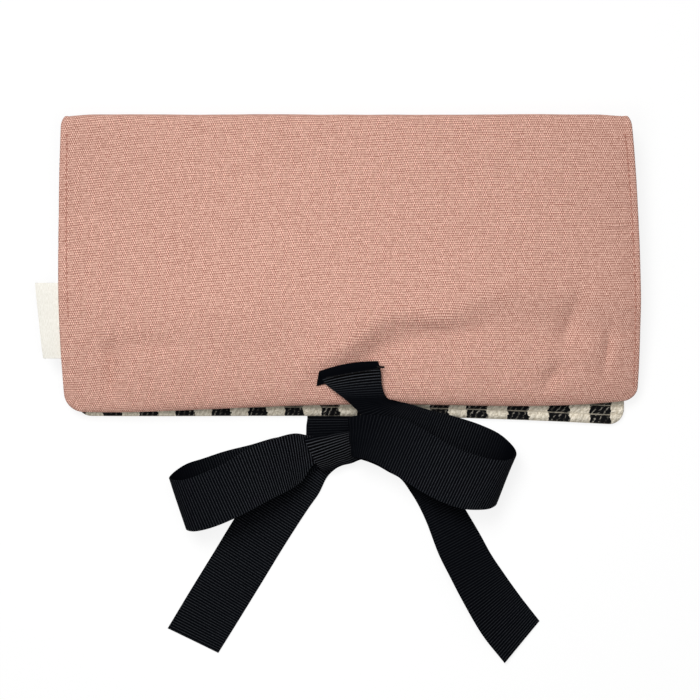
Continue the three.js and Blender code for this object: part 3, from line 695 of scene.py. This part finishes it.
def ribbon_finish(colours, ties):
    """Black grosgrain: ribs across the ribbon, bound by fine warp threads, with painted highlights.
    """
    make = Finish("grosgrain ribbon")
    across, along = make.chart()
    crest = abs(along.wave(2 * ties.rib / MM))
    warp = across.wave(0.42) * 0.5 + 0.5
    speck = make.noise(across * 2.2, along * 0.7)
    # Painted rib light along the tie: below 0 the painted highlight on the rib tops fades into the
    # groove colour as painted shade; above 0 brighter rib tops and darker grooves paint a stronger
    # highlight.
    painted_rib_light = make.level("ShaderNodeAttribute", output="Fac", attribute_name="painted_rib_light")
    highlight_share = crest.spread(0.86, 1.0) * warp.spread(0.0, 1.0, 0.65, 1.0)
    highlight_share = highlight_share * speck.spread(0.3, 0.7, 0.5, 1.35) * painted_rib_light.spread(-1.0, 0.0)
    groove = make.mix(painted_rib_light, colours.ribbon, colours.painted_rib_light)
    rib_highlight_tone = make.mix(painted_rib_light, colours.rib_highlight, colours.strong_rib_highlight)
    shown = make.mix(highlight_share, groove, rib_highlight_tone)
    make.bump(crest + warp * 0.2, distance=0.00018, strength=0.7)
    rough = speck.spread(0.3, 0.7, 0.5, 0.66)
    return make.finish(Base_Color=shown, Roughness=rough, Specular_IOR_Level=0.004)


def label_finish(colours):
    """Closely woven label tape."""
    make = Finish("woven label")
    across, along = make.chart()
    grain = make.noise(across * 0.6, along * 3.0)
    level = across.wave(0.5) * along.wave(0.7) * 0.35 + grain
    shown = make.mix(level.spread(0.2, 0.75), colours.label_dark, colours.label)
    make.bump(level, distance=0.00012, strength=0.7)
    make.finish(Base_Color=shown, Roughness=0.75)
    return make.finish(Sheen_Weight=0.1, Specular_IOR_Level=0.25)


def thread_finish(name, tone):
    """Twisted sewing thread."""
    make = Finish(name)
    twist = make.noise(make.solid_place(), scale=2600.0, detail=1.0)
    shown = make.tint(tone, twist.spread(0.3, 0.7, 0.82, 1.08))
    make.bump(twist, distance=0.0001, strength=0.6)
    return make.finish(Base_Color=shown, Roughness=0.7, Specular_IOR_Level=0.1)


def tape_finish(colours):
    """Herringbone tape of a zip."""
    make = Finish("zip tape")
    across, along = make.chart()
    twill = (across + make.math("PINGPONG", along, 1.1)).wave(0.55)
    shown = make.tint(colours.zip_tape, twill.spread(-1.0, 1.0, 0.6, 1.3))
    make.bump(twill, distance=0.0001, strength=0.8)
    return make.finish(Base_Color=shown, Roughness=0.85, Specular_IOR_Level=0.15)


def moulded_finish(colours):
    """Satin moulded plastic of the zip's teeth."""
    make = Finish("moulded teeth")
    make.round_edges(0.00015)
    rough = make.noise(make.solid_place(), scale=900.0).spread(0.3, 0.7, 0.32, 0.46)
    return make.finish(Base_Color=colours.zip_teeth, Roughness=rough, Specular_IOR_Level=0.45)


def brass_finish(colours):
    """Brushed brass with softened edges."""
    make = Finish("brushed brass")
    x, y, z = make.parts(make.solid_place())
    brushed = make.noise(x, y * 9.0, z, scale=700.0, detail=3.0)
    make.round_edges(0.00025)
    shown = make.tint(colours.brass, brushed.spread(0.3, 0.7, 0.88, 1.06))
    rough = brushed.spread(0.3, 0.7, 0.22, 0.38)
    return make.finish(Base_Color=shown, Metallic=1.0, Roughness=rough)


class PadShape:
    """The upper or lower half of the folded pad, from half way up the spine to its free edge."""

    def __init__(self, sizes, upper):
        self.sizes = sizes
        self.upper = upper
        self.half = sizes.fold_width / 2
        self.front = sizes.flap_front if upper else sizes.back_front
        sides = np.array(FLAP_SIDES if upper else BACK_SIDES)
        edge = np.array(FLAP_EDGE if upper else BACK_EDGE) * MM
        self.left = Polynomial.fit(sides[:, 0], sides[:, 1] * MM, 3)
        self.right = Polynomial.fit(sides[:, 0], sides[:, 2] * MM, 3)
        self.edge = Polynomial.fit(edge[:, 0], edge[:, 1], 4)
        self.corners = FLAP_CORNERS if upper else BACK_CORNERS
        self.turn = sizes.fold_round - sizes.panel / 2
        self.spine = sizes.height / 2 - sizes.fold_round
        self.bend_end = self.spine + self.turn * math.pi / 2
        self.length = self.bend_end + sizes.fold_y - sizes.fold_round - self.front

    def middle(self, x, s):
        """Middle surface of the pad; s runs from the spine to the free edge."""
        sizes = self.sizes
        bend = np.clip((s - self.spine) / self.turn, 0, math.pi / 2)
        beyond = np.maximum(s - self.bend_end, 0)
        y = sizes.fold_y - sizes.fold_round + self.turn * np.cos(bend) - beyond
        rise = np.minimum(s, self.spine) + self.turn * np.sin(bend)
        share = (y - self.front) / (sizes.fold_y - self.front)
        wide = x * np.where(x < 0, self.left(share), self.right(share)) / self.half
        wide = wide * (1 - self.narrowed(x, share))
        y = y + (self.edge(wide) - self.front) * np.clip(1 - share, 0, 1) ** 1.5
        if self.upper:
            beside = (np.abs(wide) / self.half) ** 4 * np.minimum(1, 3 * (1 - share))
            drop = self.sunk(wide, y, share) + sizes.side_drop * beside
            drop = drop + dented(wide, y, FLAP_FOLDS) + self.curled(wide, s)
            z = sizes.height / 2 + rise - drop * np.minimum(1, s / self.spine)
        else:
            z = sizes.height / 2 - rise
        return np.stack(np.broadcast_arrays(wide, y, z), axis=-1)

    def narrowed(self, x, share):
        """Share by which the pad is narrower at the fold, so that its corners are rounded."""
        start, reach, most, sharp = 0.958, 0.025, 0.008, 24
        return most * np.clip((share - start) / reach, 0, 1) ** 2 * (np.abs(x) / self.half) ** sharp

    def sunk(self, x, y, share):
        """How far the flap sinks to its front: a slow slope, and a break above the sewn tie."""
        places, *columns = np.array(FLAP_BREAK).T * MM
        near = np.linspace(-0.004, 0.004, 9)
        line, width, depth = (
            np.mean([np.interp(x + step, places, column) for step in near], axis=0)
            for column in columns
        )
        sloping, steep, steeper = 0.4, 1.65, 250
        slope = np.maximum(0, 1 - share / sloping) ** (steep + steeper * depth)
        return (self.sizes.front_drop - depth) * slope + depth * ease((line - y) / width + 0.5)

    def curled(self, x, s):
        """How far the flap's free edge curls down."""
        places, depths = np.array(FLAP_CURL).T * MM
        curl_reach = 0.01
        near = np.maximum(0, 1 - (self.length - s) / curl_reach)
        return np.interp(x, places, depths) * near**2

    def outwards(self, x, s):
        """Direction from the middle surface to the canvas."""
        step = 0.00005
        across = self.middle(x + step, s) - self.middle(x - step, s)
        along = self.middle(x, s + step) - self.middle(x, s - step)
        return unit(np.cross(along, across) if self.upper else np.cross(across, along))

    def rounded(self, x, s):
        """Place on the panel with its free corners rounded."""
        corner = np.where(x < 0, *self.corners)
        over_x = np.abs(x) - (self.half - corner)
        over_s = s - (self.length - corner)
        inside = (over_x > 0) & (over_s > 0)
        reach = np.hypot(over_x, over_s)
        amount = np.where(inside, np.maximum(over_x, over_s) / np.maximum(reach, 1e-9), 1.0)
        round_x = np.sign(x) * (self.half - corner + over_x * amount)
        round_s = self.length - corner + over_s * amount
        return np.where(inside, round_x, x), np.where(inside, round_s, s)

    def stitch_inset(self, x, s):
        """Distance of the topstitching from the side."""
        share = 1 - s / self.length
        if not self.upper:
            return np.full_like(share, BACK_INSET)
        (left, left_change), (right, right_change) = FLAP_INSETS
        return np.where(x < 0, left + left_change * share, right + right_change * share)

    def fullness(self, x, s, outside):
        """Half thickness of the pad: thin at its rim and stitching, full inside."""
        full = self.sizes.panel / 2
        thin = 0.62 * full
        rim_round, swell_reach = 0.0014, 0.013
        groove_depth, groove_reach = 0.00016, 0.0009
        front_round = 0.0055 if outside else 0.0048
        side = np.maximum(self.half - np.abs(x), 0.0)
        front = np.maximum(self.length - s, 0.0)
        beyond = side - self.stitch_inset(x, s)
        swell = thin + (full - thin) * ease(beyond / swell_reach)
        beside = round_edge(side, rim_round) * (swell - groove_depth * bell(beyond, groove_reach))
        rolled = full * round_edge(front, front_round)
        held = 1e-7
        return ((beside + held) ** -5 + (rolled + held) ** -5) ** -0.2

    def face(self, x, s, outside, relief):
        """Points on the canvas side or the lining side, with the direction away from the pad."""
        round_x, round_s = self.rounded(x, s)
        if outside and not self.upper:
            tuck, reach = 0.0011, 0.012
            round_s = round_s - tuck * ease((round_s - self.length + reach) / reach)
        centre = self.middle(round_x, round_s)
        away = self.outwards(round_x, round_s) * (1.0 if outside else -1.0)
        deep = self.fullness(x, s, outside)
        uneven = relief(centre[..., 0], centre[..., 1], self.half - np.abs(x), s)
        deep = deep + uneven * np.minimum(1, deep / MM)
        return centre + away * deep[..., None], away


def flap_relief(x, y, side, s):
    """Unevenness of the flap's canvas: dents from handling and puckers along the stitching."""
    move = 0.00022 * ripple(x, y, reach=0.055, seed=3)
    move = move + 0.00007 * ripple(x, y, reach=0.016, seed=5)
    deep, inset, wide, pitch = 0.00012, 0.0055, 0.004, 0.0068
    phase = 2 * math.pi * s / pitch + 3 * ripple(x, y, reach=0.05, seed=9)
    return move + deep * bell(side - inset, wide) * np.sin(phase)


def back_relief(x, y, side, s):
    """The back lies flat; only the sewn end of its tie presses into it."""
    tie_x, tie_half, tie_end, soft, pressed = -0.0068, 0.0133, -0.0515, 0.0025, 0.0009
    beside = 1 - ease((np.abs(x - tie_x) - tie_half) / soft)
    inside = 1 - ease((y - tie_end) / soft)
    return -pressed * beside * inside - 0.00008 * (1 + ripple(x, y, reach=0.05, seed=13))


def lining_relief(weave, length):
    """Corded rows, counted from the free edge."""

    def relief(x, y, side, s):
        crest = np.abs(np.sin(math.pi * (length - s) / weave.row))
        return weave.row_depth * (crest - 1.0) + 0.00015 * ripple(x, y, reach=0.05, seed=17)

    return relief


def places_across(pad, step):
    """Places across a pad, close together near both sides."""
    inner = pad.half - RIM_INSETS[-1]
    count = max(2, int(round(2 * inner / step)))
    low = RIM_INSETS[:-1] - pad.half
    return np.concatenate([low, np.linspace(-inner, inner, count + 1), -low[::-1]])


def places_along(pad, step):
    """Places along a pad, from its free edge to the half height of the spine."""
    inner = pad.length - RIM_INSETS[-1]
    fold_end = pad.bend_end + 0.002
    fold = np.linspace(0, fold_end, 15)
    count = max(2, int(round((inner - fold_end) / step)))
    flat = np.linspace(fold_end, inner, count + 1)[1:]
    edge = pad.length - RIM_INSETS[-2::-1]
    return np.concatenate([fold, flat, edge])[::-1]


def add_pad_cloth(name, pad, outside, step, relief, finish):
    """One cloth of a pad, canvas or lining, as a closed sheet."""
    columns = places_across(pad, step)
    if outside != pad.upper:
        columns = columns[::-1]
    x, s = np.meshgrid(columns, places_along(pad, step))
    face, _ = pad.face(x, s, outside, relief)
    along = pad.length - s
    if outside:
        steps = np.median(np.linalg.norm(np.diff(face, axis=0), axis=-1), axis=1)
        along = np.broadcast_to(np.append(0.0, np.cumsum(steps))[:, None], s.shape)
    chart = np.stack([face[..., 0], along], axis=-1)
    return add_cloth(name, face, pad.sizes.cloth, chart, finish)


def run_of_stitches(pad, side, end, relief):
    """Stitches along one side of a pad's canvas, from the spine to an end; the bend has none."""
    sizes = pad.sizes
    count = int(end / sizes.stitch)
    bare_from, bare_to = pad.spine - 0.001, pad.bend_end + 0.004
    tubes = []
    for number in range(count):
        s = np.linspace(number + 0.08, number + 0.92, 6) * end / count
        if s[-1] > bare_from and s[0] < bare_to:
            continue
        sway = 0.00012 * math.sin(number * 2.1)
        x = side * (pad.half - pad.stitch_inset(np.full_like(s, side), s)) + sway
        spots, away = pad.face(x, s, True, relief)
        tubes.append(stitch(spots, away, sizes.thread, bulge=0.75, taper=0.25))
    return tubes


def blend_fold(piece, upper):
    """Bake a cloth's placement into its mesh; upper and lower cloths are treated alike."""
    if upper:
        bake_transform(piece)
    else:
        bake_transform(piece)


def spline(points, steps):
    """Centripetal curve through points."""
    held = np.vstack([2 * points[0] - points[1], points, 2 * points[-1] - points[-2]])
    share = np.linspace(0, 1, steps, endpoint=False)[:, None]
    runs = []
    for p0, p1, p2, p3 in zip(held, held[1:], held[2:], held[3:]):
        d0, d1, d2 = (math.sqrt(np.linalg.norm(gap)) for gap in (p1 - p0, p2 - p1, p3 - p2))
        leave = d1 * ((p1 - p0) / d0 - (p2 - p0) / (d0 + d1) + (p2 - p1) / d1)
        reach = d1 * ((p2 - p1) / d1 - (p3 - p1) / (d1 + d2) + (p3 - p2) / d2)
        bend = 2 * p1 - 2 * p2 + leave + reach
        turn = -3 * p1 + 3 * p2 - 2 * leave - reach
        runs.append(p1 + leave * share + turn * share**2 + bend * share**3)
    return np.vstack([*runs, points[-1]])


def tie_lines(stations):
    """Both edges of a tie in metres, and its centre line with the distance along it."""
    table = np.array(stations, float)
    turn, lean = np.radians(table[:, 3:5]).T
    level = np.cos(lean)
    across = np.stack([level * np.cos(turn), level * np.sin(turn), np.sin(lean)], axis=-1)
    reach = across * table[:, 5:6] / 2
    left = spline((table[:, :3] - reach) * MM, STATION_STEPS)
    right = spline((table[:, :3] + reach) * MM, STATION_STEPS)
    centre = (left + right) / 2
    steps = np.linalg.norm(np.diff(centre, axis=0), axis=1)
    return left, right, centre, np.append(0, np.cumsum(steps))


def resampled(line, distance, places):
    return np.stack([np.interp(places, distance, line[:, axis]) for axis in range(3)], axis=-1)


def add_tie(name, stations, ties, finish, rib_lights, hem, seed):
    """A ribbon along its stations, with its ribs and its gathers at the knot."""
    left, right, centre, distance = tie_lines(stations)
    length = float(distance[-1])
    places = np.linspace(0, length, int(round(length / (ties.rib / 4))) + 1)
    left = resampled(left, distance, places)
    right = resampled(right, distance, places)
    across = right - left
    normal = unit(np.cross(across, unit(np.gradient((left + right) / 2, axis=0))))
    share = np.linspace(-1, 1, 15)
    sheet = (left + right)[:, None] / 2 + across[:, None] * share[:, None] / 2

    # Pleats where the ribbon is gathered, and its loose lie
    narrow = (ties.width - np.linalg.norm(across, axis=1)) / ties.width
    gather_depth, fully_narrow, pleats, loose = 0.0003, 0.35, 2.5, 0.00022
    gather = gather_depth * ease(np.clip(narrow, 0, 1) / fully_narrow)
    pleat = gather[:, None] * np.cos(pleats * math.pi * share + 0.6) * (1 - share**6)
    flutter = loose * ripple(places[:, None], share * ties.width / 2, reach=0.045, seed=seed)
    sheet = sheet + normal[:, None] * (pleat + flutter)[..., None]

    # Painted highlight and painted shade along the ribbon, and the arch of the folded end; over the
    # folded end the rib tops are faded to the groove colour
    marks = distance[[round(STATION_STEPS * station) for station, _ in rib_lights]]
    rib_light_share = np.interp(places, marks, [amount for _, amount in rib_lights])
    if hem is not None:
        fold = distance[STATION_STEPS * hem]
        arch_rise, arch_reach, dark = 0.0012, 0.008, 0.0042
        arch = arch_rise * bell(places - fold, arch_reach)
        turn = math.radians(stations[hem][3] + 90)
        up = np.array([math.cos(turn), math.sin(turn), 0])
        sheet = sheet + up * (arch[:, None] * (1 - share**2))[..., None]
        rib_light_share[places < fold + dark] = -1.0

    # Both faces with their ribs
    crest = np.abs(np.sin(math.pi * places / ties.rib))
    half = ties.thickness / 2 - ties.rib_depth * (1 - crest) / 2
    sheet[..., 2] = np.maximum(sheet[..., 2], ties.thickness / 2)
    thick = normal[:, None] * half[:, None, None]
    chart = np.broadcast_arrays(share * ties.width / 2, places[:, None])
    made = add_shell(name, sheet - thick, sheet + thick, np.stack(chart, axis=-1), finish)
    layer = made.data.attributes.new("painted_rib_light", "FLOAT", "POINT")
    values = np.tile(np.repeat(rib_light_share, len(share)), 2)
    layer.data.foreach_set("value", values.astype(np.float32))
    path = resampled(centre, distance, np.linspace(0, length, int(length / 0.002)))
    return made, path, length


class POUCH_OT_canvas(Operator):
    """Make the padded canvas outside and its topstitching"""

    bl_idname = "pouch.canvas"
    bl_label = "Canvas"

    def execute(self, context):
        sizes = context.scene.pouch_sizes
        colours = context.scene.pouch_colours
        finish = canvas_finish(colours, context.scene.pouch_weave)
        thread = thread_finish("topstitch thread", colours.thread)
        upper = PadShape(sizes, True)
        lower = PadShape(sizes, False)
        flap = add_pad_cloth("canvas_upper", upper, True, FLAP_STEP, flap_relief, finish)
        back = add_pad_cloth("canvas_lower", lower, True, BACK_STEP, back_relief, finish)
        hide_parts("flap_canvas", "flap_batting")
        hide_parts("back_canvas", "back_batting", "spine_canvas", "spine_batting")
        for pad, cloth, relief in ((upper, flap, flap_relief), (lower, back, back_relief)):
            tubes = []
            for side in (-1, 1):
                stop = STITCH_STOP_LEFT if pad.upper and side < 0 else STITCH_STOP
                tubes += run_of_stitches(pad, side, pad.length - stop, relief)
            stitches = add_tubes(cloth.name.replace("canvas", "topstitch"), tubes, thread)
            for piece in (cloth, stitches):
                blend_fold(piece, pad.upper)
        return {"FINISHED"}


class POUCH_OT_lining(Operator):
    """Make the striped lining inside the back, the spine and the flap"""

    bl_idname = "pouch.lining"
    bl_label = "Lining"

    def execute(self, context):
        sizes = context.scene.pouch_sizes
        weave = context.scene.pouch_weave
        finish = lining_finish(context.scene.pouch_colours, weave)
        for name, upper, nodes in (
            ("lining_upper", True, ("flap_lining",)),
            ("lining_lower", False, ("back_lining", "spine_lining")),
        ):
            pad = PadShape(sizes, upper)
            relief = lining_relief(weave, pad.length)
            cloth = add_pad_cloth(name, pad, False, weave.row / 5, relief, finish)
            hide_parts(*nodes)
            blend_fold(cloth, upper)
        return {"FINISHED"}


class POUCH_OT_ties(Operator):
    """Make the two ribbon ties and the bow that they are tied in"""

    bl_idname = "pouch.ties"
    bl_label = "Ties"

    def execute(self, context):
        scene = context.scene
        ties = scene.pouch_ties
        finish = ribbon_finish(scene.pouch_colours, ties)
        for name, body, node, stations, rib_lights, hem, seed in (
            ("ribbon_flap", "flap", "flap_tie", FLAP_TIE, FLAP_RIB_LIGHT, FLAP_HEM, 21),
            ("ribbon_back", "back", "back_tie", BACK_TIE, BACK_RIB_LIGHT, None, 23),
        ):
            tie, path, length = add_tie(name, stations, ties, finish, rib_lights, hem, seed)
            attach(tie, body)
            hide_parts(node)
        self.sew_root(scene.pouch_sizes, ties, scene.pouch_colours)
        return {"FINISHED"}

    def sew_root(self, sizes, ties, colours):
        """Stitches through the folded end of the upper tie, with the cut end of their thread."""
        left, right, _, distance = tie_lines(FLAP_TIE)
        from_fold = 0.0036
        row = distance[STATION_STEPS * FLAP_HEM] + from_fold
        first, last = (resampled(edge, distance, [row])[0] for edge in (left, right))
        share = np.linspace(0.06, 0.985, 30)[:, None]
        line = first + (last - first) * share + UP * ties.thickness / 2
        tubes = row_of_stitches(line, sizes)
        tail = ((12.6, -48.5, 20.6), (13.6, -48.5, 20.7), (14.8, -48.7, 20.5), (16, -48.7, 20.2))
        line = spline(np.array(tail) * MM, 4)
        tubes.append(tube_mesh(line, np.full(len(line), sizes.thread * 0.9), UP))
        thread = thread_finish("tie thread", colours.ribbon_thread)
        stitches = add_tubes("root_stitches", tubes, thread)
        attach(stitches, "flap")


class POUCH_OT_pockets(Operator):
    """Make the slip pocket, the cloth on both sides of the zip and their stitching"""

    bl_idname = "pouch.pockets"
    bl_label = "Pockets"

    def execute(self, context):
        sizes = context.scene.pouch_sizes
        colours = context.scene.pouch_colours
        finish = lining_finish(colours, context.scene.pouch_weave)
        thread = thread_finish("lining thread", colours.lining_thread)
        tubes = self.slip_pocket(sizes, finish)
        for node, sewn_low in (("zip_pocket_panel", True), ("zip_pocket_header", False)):
            tubes += self.zip_cloth(node, sewn_low, sizes, finish)
        stitches = add_tubes("pocket_stitches", tubes, thread)
        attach(stitches, "back")
        return {"FINISHED"}

    def slip_pocket(self, sizes, finish):
        """An open pocket that stands a little full, with a turned hem; gives its stitches."""
        low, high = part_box("slip_pocket")
        base = low.z + sizes.cloth
        rise = high.z - base - sizes.cloth

        def height(x, y):
            side = ease((1 - np.abs(x) / high.x) / 0.16)
            along = (y - low.y) / (high.y - low.y)
            sag = 0.9 + 0.1 * np.cos(2 * math.pi * x / (high.x * 0.9))
            lift = rise * side * ease(along / 0.5) * sag
            hem = 0.0005 * ease((along - 0.9) / 0.012) * (1 - ease((along - 0.985) / 0.015))
            return base + lift + hem + 0.00012 * (1 + ripple(x, y, reach=0.05, seed=31))

        columns = np.linspace(low.x, high.x, 181)
        rows = np.linspace(low.y, high.y, 91)
        cloth = add_laid("pocket_slip", columns, rows, height, sizes.cloth, finish)
        self.sew_on(cloth, "slip_pocket", (high.x - low.x, high.y - low.y))
        hem_line = high.y - 0.0068
        ends = (low.y + SEAM, high.y - 0.001)
        return sewn_round(low, high, (low.y + SEAM, hem_line), ends, 60, height, sizes)

    def zip_cloth(self, node, sewn_low, sizes, finish):
        """The cloth on one side of the zip, which climbs to its tape; gives its stitches."""
        low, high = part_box(node)
        base = low.z + sizes.cloth
        step = high.z - base
        slot_edge, sewn_edge = (high.y, low.y) if sewn_low else (low.y, high.y)

        def height(x, y):
            away = np.abs(y - slot_edge)
            flat, climbing, edge_drop, edge_round = 0.0024, 0.0032, 0.00035, 0.0007
            climb = 1 - ease((away - flat) / climbing)
            roll = edge_drop * (1 - np.sqrt(np.clip(away / edge_round, 0, 1)))
            uneven = 0.00008 * (1 + ripple(x, y, reach=0.04, seed=37))
            return base + step * climb - roll + uneven * (1 - climb)

        columns = np.linspace(low.x, high.x, 161)
        rows = np.sort(slot_edge + (sewn_edge - slot_edge) * np.linspace(0, 1, 41) ** 1.6)
        name = node.replace("zip_pocket_", "pocket_zip_")
        cloth = add_laid(name, columns, rows, height, sizes.cloth, finish)
        self.sew_on(cloth, node, (high.x - low.x, high.y - low.y))
        inwards = math.copysign(1, sewn_edge - slot_edge)
        lines = (slot_edge + inwards * 0.0016, sewn_edge - inwards * SEAM)
        ends = (low.y + SEAM, high.y - SEAM)
        return sewn_round(low, high, lines, ends, 40, height, sizes)

    def sew_on(self, cloth, node, flat):
        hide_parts(node)
        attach(cloth, "back")


class POUCH_OT_zip(Operator):
    """Make the woven tapes of the zip and finish its teeth, stops, slider and pull"""

    bl_idname = "pouch.zip"
    bl_label = "Zip"

    def execute(self, context):
        colours = context.scene.pouch_colours
        woven = tape_finish(colours)
        for node in ("zip_tape_front", "zip_tape_rear"):
            low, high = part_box(node)

            def height(x, y):
                groove, pitch = 0.00006, 0.0011
                return high.z - groove * (1 - np.abs(np.sin(math.pi * (y - low.y) / pitch)))

            columns = np.linspace(low.x, high.x, 116)
            rows = np.linspace(low.y, high.y, 37)
            name = node.replace("zip_tape", "tape")
            tape = add_laid(name, columns, rows, height, high.z - low.z, woven)
            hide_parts(node)
            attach(tape, "back")
        for finish, names in (
            (moulded_finish(colours), ("zip_teeth_front", "zip_teeth_rear")),
            (brass_finish(colours), ("zip_stop_closed", "zip_stop_open", "zip_slider", "zip_pull")),
        ):
            for name in names:
                worn = bpy.data.objects[name].data.materials
                worn.clear()
                worn.append(finish)
        return {"FINISHED"}


class POUCH_OT_label(Operator):
    """Make the folded label in the flap's side seam"""

    bl_idname = "pouch.label"
    bl_label = "Label"

    def execute(self, context):
        low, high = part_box("side_label")
        finish = label_finish(context.scene.pouch_colours)
        pad = PadShape(context.scene.pouch_sizes, True)
        y = np.linspace(low.y, high.y, 40)
        share = (y - low.y) / (high.y - low.y)
        seam = pad.middle(np.full_like(y, -pad.half), pad.length - (y - pad.front))
        shown, slant, tucked, half_gap, thickness = 0.0095, 0.0022, 0.0018, 0.00035, 0.00025
        reach = shown + slant * (share - 0.5)
        places = np.linspace(0, 1, 27)
        loop = []
        for place in places:
            out = 1 - abs(2 * place - 1)
            tip = np.clip((out - 0.93) / 0.07, 0, 1)
            rise = half_gap * np.sqrt(1 - tip**2) * (1 if place < 0.5 else -1)
            wave = 0.0004 * out * np.sin(2.2 * math.pi * share + 0.7)
            x = seam[:, 0] + tucked - (reach + tucked) * out
            loop.append(np.stack([x, y, seam[:, 2] + rise + wave], axis=-1))
        chart = np.stack(np.broadcast_arrays(y, 0.023 * places[:, None]), axis=-1)
        label = add_cloth("label", np.stack(loop), thickness, chart, finish)
        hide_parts("side_label")
        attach(label, "flap")
        return {"FINISHED"}


class POUCH_OT_stage(Operator):
    """Set the floor, the lights and the camera"""

    bl_idname = "pouch.stage"
    bl_label = "Stage"

    def execute(self, context):
        scene = context.scene
        stage = scene.pouch_stage
        scene.view_settings.view_transform = "Standard"
        self.light_world(scene, stage)
        self.lay_floor(scene.pouch_colours)
        self.hang_lamp(scene, "window", (-0.5, 0.85, 1.9), 1.0, stage.window)
        self.hang_lamp(scene, "overhead_lamp", (-0.03, -0.04, 0.34), 0.2, stage.lamp)
        camera = bpy.data.cameras.new("camera")
        camera.sensor_width = 36.0
        camera.sensor_fit = "HORIZONTAL"
        camera.lens = stage.lens
        camera.clip_start = 0.01
        held = bpy.data.objects.new("camera", camera)
        held.location = (stage.camera_x, stage.camera_y, stage.camera_height)
        scene.collection.objects.link(held)
        scene.camera = held
        return {"FINISHED"}

    def hang_lamp(self, scene, name, place, across, energy):
        lamp = bpy.data.lights.new(name, "AREA")
        lamp.shape = "DISK"
        lamp.size = across
        lamp.energy = energy
        hung = bpy.data.objects.new(name, lamp)
        hung.location = place
        aim = Vector((0, -0.04, 0)) - hung.location
        hung.visible_camera = False
        hung.rotation_euler = aim.to_track_quat("-Z", "Y").to_euler()
        scene.collection.objects.link(hung)

    def light_world(self, scene, stage):
        """Soft light from all sides that is white where it is seen."""
        scene.world = bpy.data.worlds.new("soft surround")
        make = Nodes(scene.world)
        surround = make.tree.nodes["Background"].inputs
        make.put(surround["Color"], (1, 1, 1, 1))
        make.put(surround["Strength"], make.seen().spread(0.0, 1.0, stage.sky, 1.0))

    def lay_floor(self, colours):
        """A pale floor that keeps a faint shadow."""
        make = Finish("pale floor")
        make.finish(Base_Color=colours.floor, Roughness=0.95, Specular_IOR_Level=0.0)
        glow = make.level("ShaderNodeEmission", {"Color": (1, 1, 1, 1), "Strength": 1.0})
        lit = Level(make, make.shader.outputs[0])
        both = make.level("ShaderNodeMixShader", {0: make.seen() * 0.85, 1: lit, 2: glow})
        make.put(make.tree.nodes["Material Output"].inputs["Surface"], both)
        rim = 2.5
        corners = np.array([(-rim, -rim, 0), (rim, -rim, 0), (rim, rim, 0), (-rim, rim, 0)], float)
        floor = add_mesh("floor", corners, [[0, 1, 2, 3]], corners[:, :2], make.material)


class POUCH_PT_sidebar(Panel):
    """Lists the steps that build the pouch"""

    bl_idname = "POUCH_PT_sidebar"
    bl_label = "Jewelry Pouch"
    bl_space_type = "VIEW_3D"
    bl_region_type = "UI"
    bl_category = "Pouch"

    def draw(self, context):
        for step in STEPS:
            self.layout.operator(step.bl_idname)


GROUPS = {
    "pouch_sizes": PouchSizes,
    "pouch_ties": TieSizes,
    "pouch_weave": WeaveSizes,
    "pouch_colours": PouchColours,
    "pouch_stage": StageSettings,
}
STEPS = (
    POUCH_OT_stage,
    POUCH_OT_ties,
    POUCH_OT_canvas,
    POUCH_OT_lining,
    POUCH_OT_pockets,
    POUCH_OT_zip,
    POUCH_OT_label,
)


def register():
    for name, group in GROUPS.items():
        bpy.utils.register_class(group)
        setattr(bpy.types.Scene, name, PointerProperty(type=group))
    for step in (*STEPS, POUCH_PT_sidebar):
        bpy.utils.register_class(step)


def unregister():
    for step in (POUCH_PT_sidebar, *reversed(STEPS)):
        bpy.utils.unregister_class(step)
    for name, group in reversed(GROUPS.items()):
        delattr(bpy.types.Scene, name)
        bpy.utils.unregister_class(group)


def main():
    register()
    bpy.ops.pouch.stage()
    bpy.ops.pouch.ties()
    bpy.ops.pouch.canvas()
    bpy.ops.pouch.lining()
    bpy.ops.pouch.pockets()
    bpy.ops.pouch.zip()
    bpy.ops.pouch.label()


if __name__ == "__main__":
    main()
